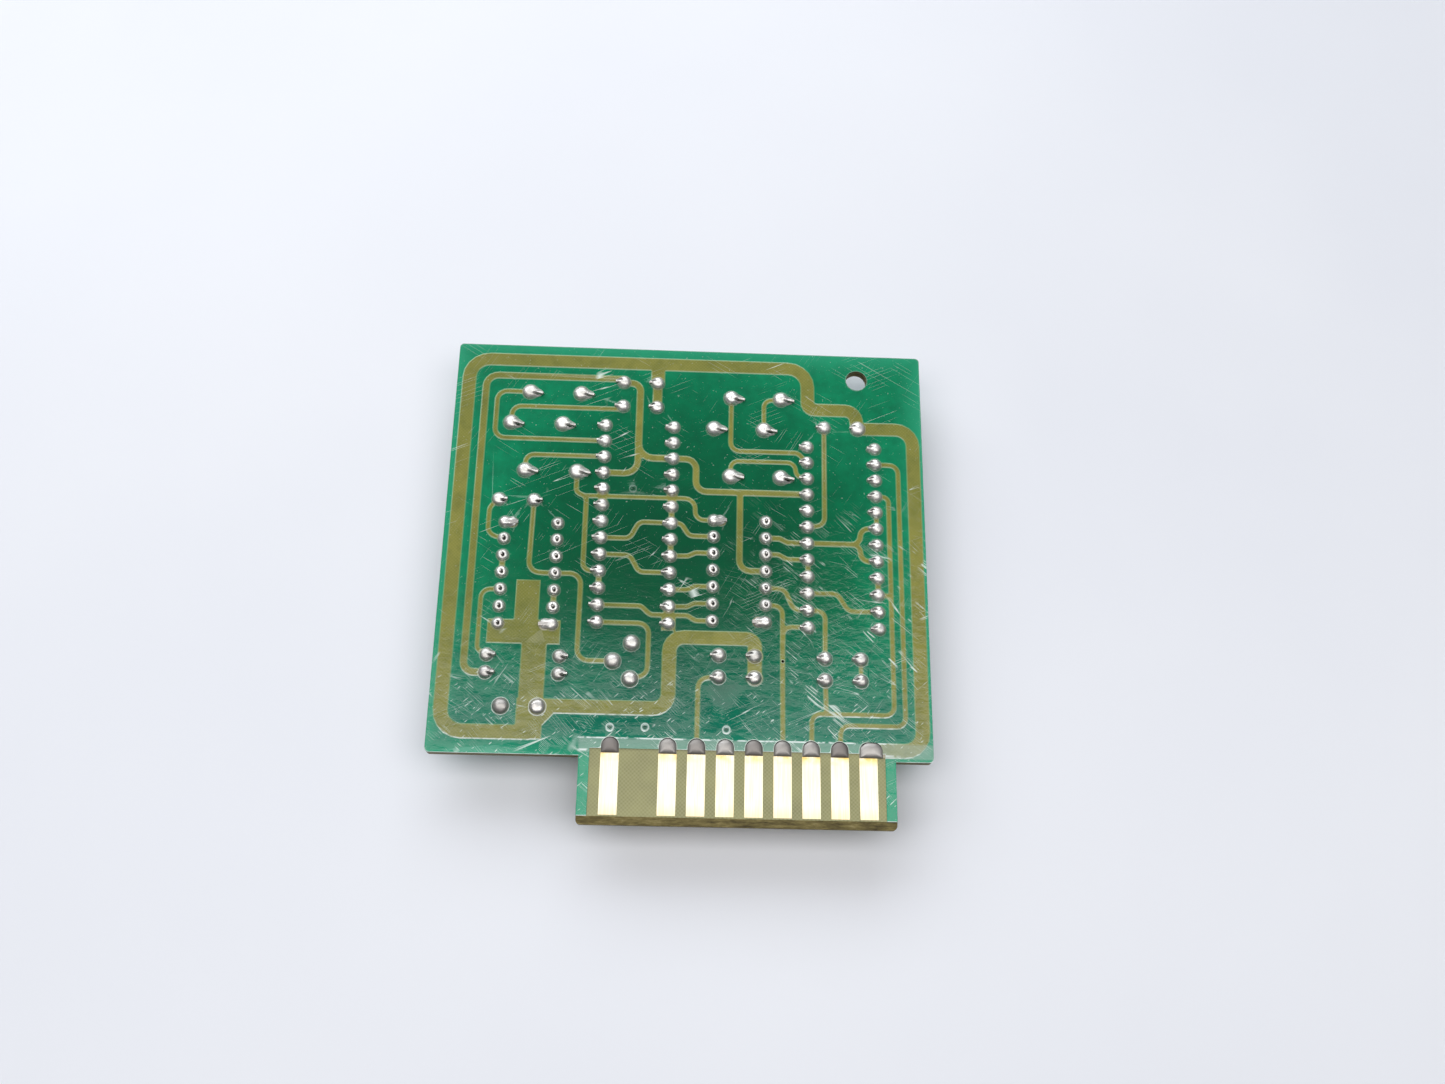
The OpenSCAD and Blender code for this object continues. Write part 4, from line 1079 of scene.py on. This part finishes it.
# %% Pillows
def pillow(name, low_x, high_x, low_y, high_y, rise, shade):
    """A puffed arch over a land, in mm: square below, round above."""
    half, middle = (high_x - low_x) / 2, (low_x + high_x) / 2
    corner = min(half, FINGER_HALF)
    outline_points = [(low_x, low_y), (high_x, low_y)]
    for k in range(13):
        turn_here = math.pi * k / 12
        shift = half - corner if turn_here < math.pi / 2 - 0.01 else -(half - corner)
        outline_points.append((middle + shift + corner * math.cos(turn_here),
                               high_y - corner + corner * math.sin(turn_here)))
    rim = []
    for (ax, ay), (bx, by) in zip(outline_points, outline_points[1:] + outline_points[:1]):
        steps = max(1, round(math.hypot(bx - ax, by - ay) / 0.35))
        rim += [(ax + (bx - ax) * s / steps, ay + (by - ay) * s / steps) for s in range(steps)]
    rim, heart = np.array(rim), np.array([middle, (low_y + high_y) / 2])
    points, rings = [], (1.0, 0.97, 0.9, 0.78, 0.6, 0.35)
    for ring in rings:
        flat = heart + (rim - heart) * ring
        points += [(px, py, rise * (1 - ring ** 2.2) ** 0.6) for px, py in flat]
    points.append((*heart, rise))
    upper = (np.array(points)[:, 1] - heart[1]) / (high_y - heart[1])
    ring_of = np.append(np.repeat(rings, len(rim)), 0.0)
    # The pit mark here only paints shade along the upper rim; the pillow has no pit there.
    pit = np.clip(upper * 1.6, 0, 1) * (ring_of > 0.8) * 0.75
    count, last = len(rim), len(points) - 1
    faces = [tuple(reversed(range(count)))]
    for r in range(len(rings) - 1):
        low, high = r * count, (r + 1) * count
        faces += [(low + k, low + (k + 1) % count, high + (k + 1) % count, high + k) for k in range(count)]
    faces += [(last - count + k, last - count + (k + 1) % count, last) for k in range(count)]
    return mesh_of(name, np.array(points) * MM + np.array([0, 0, COPPER_TOP]), faces,
                   marks={"pit": pit, "pick": [shade] * len(points)})


fingers = islands("solder_side_fingers")
FINGER_HALF = (fingers[0][1][0] - fingers[0][0][0]) / 2
PILLOW_LENGTH, PILLOW_RISE = 2.25, 0.46
SHADES = (1.9, 1.0, 1.3, 0.9, 1.4, 1.1, 1.0, 1.5, 0.8)  # how dark the solder of each one is
pillows = []
for index, (low, high) in enumerate(fingers):
    spread = 0.85 if index == len(fingers) - 1 else 0.0
    shade = SHADES[index % len(SHADES)]
    pillows.append(pillow("pillow", low[0] + 0.03, high[0] - 0.03 + spread,
                          high[1], high[1] + PILLOW_LENGTH, PILLOW_RISE, shade))
as_piece("finger_tinning_pillows", "board", "solder", "finger_tinning", *pillows, finish=solder_finish)
print(len(fingers), "pillows,", round(2 * FINGER_HALF, 2), "mm wide")

# %% [markdown]
# ## The component side
#
# The card stands on its components. Most CAD shapes there only need the softness of
# moulded or dipped parts: a copy of the mesh is merged, cleaned and given small rounded
# edges, and stands for its node. Rounding only takes material away, so nothing grows.


# %% Softened copies
BEVEL_ANGLE = 40  # degrees; only sharper edges are rounded


def softened(node, radius, segments):
    mesh = bmesh.new()
    mesh.from_mesh(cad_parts[node].data)
    bmesh.ops.remove_doubles(mesh, verts=mesh.verts, dist=0.002 * MM)
    bmesh.ops.dissolve_limit(mesh, angle_limit=math.radians(1), verts=mesh.verts, edges=mesh.edges)
    clean = bpy.data.meshes.new(node + "_soft")
    mesh.to_mesh(clean)
    mesh.free()
    if not radius:
        return clean
    thing = stand("soft", clean)
    bevel = thing.modifiers.new("bevel", "BEVEL")
    bevel.width, bevel.segments, bevel.limit_method = radius * MM, segments, "ANGLE"
    bevel.angle_limit, bevel.use_clamp_overlap = math.radians(BEVEL_ANGLE), True
    graph = bpy.context.evaluated_depsgraph_get()
    rounded = bpy.data.meshes.new_from_object(thing.evaluated_get(graph))
    bpy.data.objects.remove(thing)
    return rounded


def soft_piece(node, name, body, slot_name, finish, radius=0.0, segments=2):
    piece = as_piece(name, body, slot_name, node, softened(node, radius, segments), finish=finish)
    print(name, len(piece.data.polygons), "faces")
    return piece


# %% [markdown]
# ### Wires
#
# Leads are tinned copper wire, drawn smooth. Where the cutter went through one, the end
# that faces along X has a coppery tint.

# %% Leads
for leads in ("left_resistor", "right_resistor", "lower_resistor", "disc_capacitor",
              "film_capacitor", "tantalum", "transistor", "left_ic", "right_ic"):
    soft_piece(leads + "_leads", leads + "_wires", "board", "tinned_leads", wire_finish)
for k in range(1, 5):
    soft_piece("trimmer_%d_pins" % k, "trimmer_%d_wires" % k, "board", "tinned_leads", wire_finish)

# %% [markdown]
# ### Resistors
#
# A carbon-film resistor is a ceramic rod with a cap pressed on each end, dipped in beige
# lacquer, so it has the profile of a dog bone. The stripes are printed on last. One body is
# turned on a lathe of sixteen sides; it carries how far along it each point is, and the
# recipe gives every copy its own number, from which the finish picks three stripe colours.

# %% Lacquer with stripes
STRIPES = (-2.3, -1.15, -0.2)
STRIPE_HALF = 0.24
STRIPE_COLOURS = ("#1B1513", "#5A2E17", "#B3251C", "#D8641A", "#D9B21F",
                  "#2E7A3C", "#2B4E9E", "#6B3E8C", "#7E7E7C", "#E4E2DA")
lacquer_finish = Finish("resistor_lacquer_finish")
where = lacquer_finish.place()
along = lacquer_finish.mark("along")
pick = lacquer_finish.mark("pick")
speckle = lacquer_finish.noise(where, 2.2, 3.0)
lacquer = lacquer_finish.blend(speckle.above(0.3, 0.7), srgb("#C9A56E"), srgb("#B98F58"))
ragged = along + lacquer_finish.noise(where, 3.0, 1.0) * 0.14 - 0.07
stripe_stops = [(k / 10, srgb(code)) for k, code in enumerate(STRIPE_COLOURS)]
for index, place in enumerate(STRIPES):
    share = (pick * (7.3 + 5.7 * index) + 0.37 * index).maths("FRACT")
    share = share * 0.55 + 0.02 if index == 2 else share * 0.8 + 0.1
    stripe = 1 - abs(ragged - place).above(STRIPE_HALF, STRIPE_HALF + 0.04)
    lacquer = lacquer_finish.blend(stripe, lacquer, lacquer_finish.ramp(share, stripe_stops, "CONSTANT"))
gold_stripe = 1 - abs(ragged - 2.0).above(STRIPE_HALF, STRIPE_HALF + 0.04)
lacquer = lacquer_finish.blend(gold_stripe, lacquer, srgb("#B08A3A"))
lacquer_finish.surface(
    Base_Color=lacquer,
    Metallic=gold_stripe * 0.6,
    Roughness=speckle * 0.2 + 0.22,
    Coat_Weight=0.4,
    Normal=lacquer_finish.bump(lacquer_finish.noise(where, 1.4, 2.0), 0.05),
)


# %% Turned shapes
def lathe(name, profile, sides):
    """A shape turned about X, in mm, from (along, radius) pairs, closed by a point at each end."""
    profile = np.array(profile)
    turns = 2 * math.pi * np.arange(sides) / sides
    inner = profile[1:-1]
    points = [(profile[0][0], 0, 0)]
    points += [(x, r * math.cos(t), r * math.sin(t)) for x, r in inner for t in turns]
    points.append((profile[-1][0], 0, 0))
    last, faces = len(points) - 1, []
    for k in range(sides):
        n = (k + 1) % sides
        faces.append((0, 1 + n, 1 + k))
        faces.append((last, last - sides + k, last - sides + n))
        for ring in range(len(inner) - 1):
            a, b = 1 + ring * sides, 1 + (ring + 1) * sides
            faces.append((a + k, a + n, b + n, b + k))
    return mesh_of(name, np.array(points) * MM, faces, marks={"along": [p[0] for p in points]})


HALF_BONE = [(-3.2, 0), (-3.2, 0.4), (-3.12, 0.72), (-2.95, 0.96), (-2.65, 1.08), (-2.3, 1.1),
             (-1.95, 1.06), (-1.65, 0.96), (-1.3, 0.9)]
BONE = HALF_BONE + [(0, 0.88)] + [(-x, r) for x, r in reversed(HALF_BONE)]
for seed, bank in enumerate(("left_resistor", "right_resistor", "lower_resistor")):
    boxes = islands(bank + "_bodies")
    centres = [((low + high) / 2)[:2] for low, high in boxes]
    level = (boxes[0][0][2] + boxes[0][1][2]) / 2 * MM
    turns = [math.pi * (row % 3 == 1) for row in range(len(boxes))]
    mesh = scattered(lathe("bone", BONE, 16), centres, turns, level, lumps=0.0, jitter=0.0, swell=0.0,
                     seed=20 + seed, finish=lacquer_finish)
    as_piece(bank + "_bones", "board", "resistor_lacquer", bank + "_bodies", mesh, finish=lacquer_finish)
    print(bank, len(boxes), "bodies")

# %% [markdown]
# ### Integrated circuits
#
# Two fourteen-lead packages in dark epoxy. Their sides slope out to a mould line, and one
# end has a half-round notch. The epoxy is satin, full of fine filler grains.

# %% Epoxy bodies
epoxy_finish = Finish("epoxy_finish")
where = epoxy_finish.place()
filler = epoxy_finish.noise(where, 9.0, 3.0, 0.7)
bloom = epoxy_finish.noise(where, 0.3, 3.0)
epoxy_finish.surface(
    Base_Color=epoxy_finish.blend(bloom, srgb("#1E1E20"), srgb("#303033")),
    Roughness=filler * 0.25 + 0.38,
    Specular_IOR_Level=0.45,
    Normal=epoxy_finish.bump(filler, 0.02),
)
for side_name in ("left", "right"):
    soft_piece(side_name + "_ic_body", side_name + "_ic_package", "board", "ic_plastic",
               epoxy_finish, 0.12)

# %% [markdown]
# ### Disc capacitors
#
# A ceramic disc is dipped twice in phenolic resin and hung by its leads to dry, so it is
# a lens, thickest in the middle, and the resin runs a little way along each lead.

# %% Dipped discs
disc_finish = one_noise("disc_coating_finish", 1.3, 4.0, "#C4803A", "#A8632A", (0.2, 0.3), 0.06,
                        span=(0.3, 0.7), Coat_Weight=0.3)


def lens(name, centre, radius, half, drip_low, drip_high, leads):
    """A lens standing on edge across Y, and a drip of resin up each lead, in mm."""
    shares = (0.15, 0.35, 0.55, 0.72, 0.86, 0.95, 0.995)
    profile = [(-half, 0)] + [(-half * (1 - s ** 2.4) ** 0.75, radius * s) for s in shares]
    profile += [(-x, r) for x, r in reversed(profile)]
    disc = lathe(name, profile, 40)
    disc.transform(Matrix.Translation(Vector(centre) * MM) @ Matrix.Rotation(math.pi / 2, 4, "Z"))
    yield disc
    for x in leads:
        drip = lathe("drip", [
            (drip_low, 0), (drip_low, 0.5), (drip_low + 0.5, 0.86), (drip_low + 1.2, 0.74),
            (drip_high - 0.7, 0.52), (drip_high - 0.25, 0.4), (drip_high, 0.31), (drip_high, 0)], 14)
        upright = Matrix.Rotation(-math.pi / 2, 4, "Y")
        drip.transform(Matrix.Translation((x * MM, centre[1] * MM, 0)) @ upright)
        yield drip


DRIP_OFFSET = 1.9
for k in range(1, 5):
    node = "disc_capacitor_%d" % k
    low, high = (np.array(corner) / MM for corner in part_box(node))
    middle = (low + high) / 2
    radius, half = (high[0] - low[0]) / 2, (high[1] - low[1]) / 2
    leads = (middle[0] - DRIP_OFFSET, middle[0] + DRIP_OFFSET)
    meshes = list(lens("disc", tuple(middle), radius, half, middle[2] + 0.9, middle[2] + 3.1, leads))
    as_piece(node + "_dipped", "board", "disc_coating", node, *meshes, finish=disc_finish)
print("four dipped discs")

# %% [markdown]
# ### Film capacitors, tantalum bead and transistor
#
# The film capacitors are potted in small boxes with rounded edges. The tantalum bead is a
# drop of glossy resin. The transistor is a half-round of satin epoxy with sharp flats.

# %% Boxes, bead and transistor
film_finish = one_noise("film_case_finish", 0.9, 3.0, "#B23A2A", "#93291E", (0.2, 0.22), 0.05,
                        Coat_Weight=0.3)
bead_finish = one_noise("tantalum_finish", 0.8, 3.0, "#D27A2A", "#B4601C", (0.12, 0.14), 0.08,
                        Coat_Weight=0.6)
for k in range(1, 5):
    node = "film_capacitor_%d" % k
    soft_piece(node, node + "_case", "board", "film_case", film_finish, 0.5, 5)
soft_piece("tantalum_capacitor", "tantalum_bead", "board", "tantalum_coating", bead_finish)
soft_piece("transistor_body", "transistor_case", "board", "transistor_plastic", epoxy_finish, 0.12)

# %% [markdown]
# ### Trimmers
#
# Each multi-turn trimmer is a blue moulded housing round a brass lead screw. The screw
# draws a nylon carriage, whose wiper touches a ceramic element that carries a dark
# resistive stripe. Screw and carriage ride on bodies of their own, so that they move.

# %% Trimmer finishes
case_finish = one_noise("trimmer_case_finish", 0.7, 4.0, "#2A63A8", "#204F8C", (0.2, 0.3), 0.01,
                        fine=(8.0, 2.0))
ceramic_finish = Finish("trimmer_ceramic_finish")
where = ceramic_finish.place()
chalk = ceramic_finish.noise(where, 4.0, 3.0)
stripe = (ceramic_finish.facing("Z") * -1.0).above(0.7, 0.9)
ceramic_finish.surface(
    Base_Color=ceramic_finish.blend(stripe, srgb("#E9E6DC"), srgb("#3B3733")),
    Roughness=chalk * 0.3 + 0.45,
    Normal=ceramic_finish.bump(chalk, 0.01),
)
brass_finish = one_noise("trimmer_brass_finish", 1.0, 3.0, "#D9B36A", "#B28A45", (0.25, 0.2), 0.01,
                         stretch=(1.0, 9.0, 1.0), Metallic=1.0)
nylon_finish = one_noise("trimmer_nylon_finish", 1.1, 3.0, "#E8E4D6", "#D5CFBC", (0.2, 0.35),
                         Subsurface_Weight=0.1)

# %% Trimmer pieces
TRIMMER_PIECES = (  # node, piece, body, slot, finish, rounding in mm and its segments
    ("housing", "case", "board", "trimmer_case", case_finish, 0.18, 3),
    ("element", "track", "board", "trimmer_ceramic", ceramic_finish, 0.06, 2),
    ("screw", "lead_screw", "adjuster_%d", "trimmer_brass", brass_finish, 0.06, 2),
    ("carriage", "slider", "wiper_%d", "trimmer_nylon", nylon_finish, 0.12, 2))
for k in range(1, 5):
    for node, piece, body, *rest in TRIMMER_PIECES:
        trimmer = "trimmer_%d_" % k
        soft_piece(trimmer + node, trimmer + piece, body.replace("%d", str(k)), *rest)
print("four trimmers")

# %% [markdown]
# ## What the last cell does
#
# It works out the overall box of the finished pieces and prints it; the CAD box was
# printed at the start.

# %% The overall box of the finished pieces
visual_box = [list(corner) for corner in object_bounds()]
print("visual box, mm:", [[round(v / MM, 2) for v in corner] for corner in visual_box])
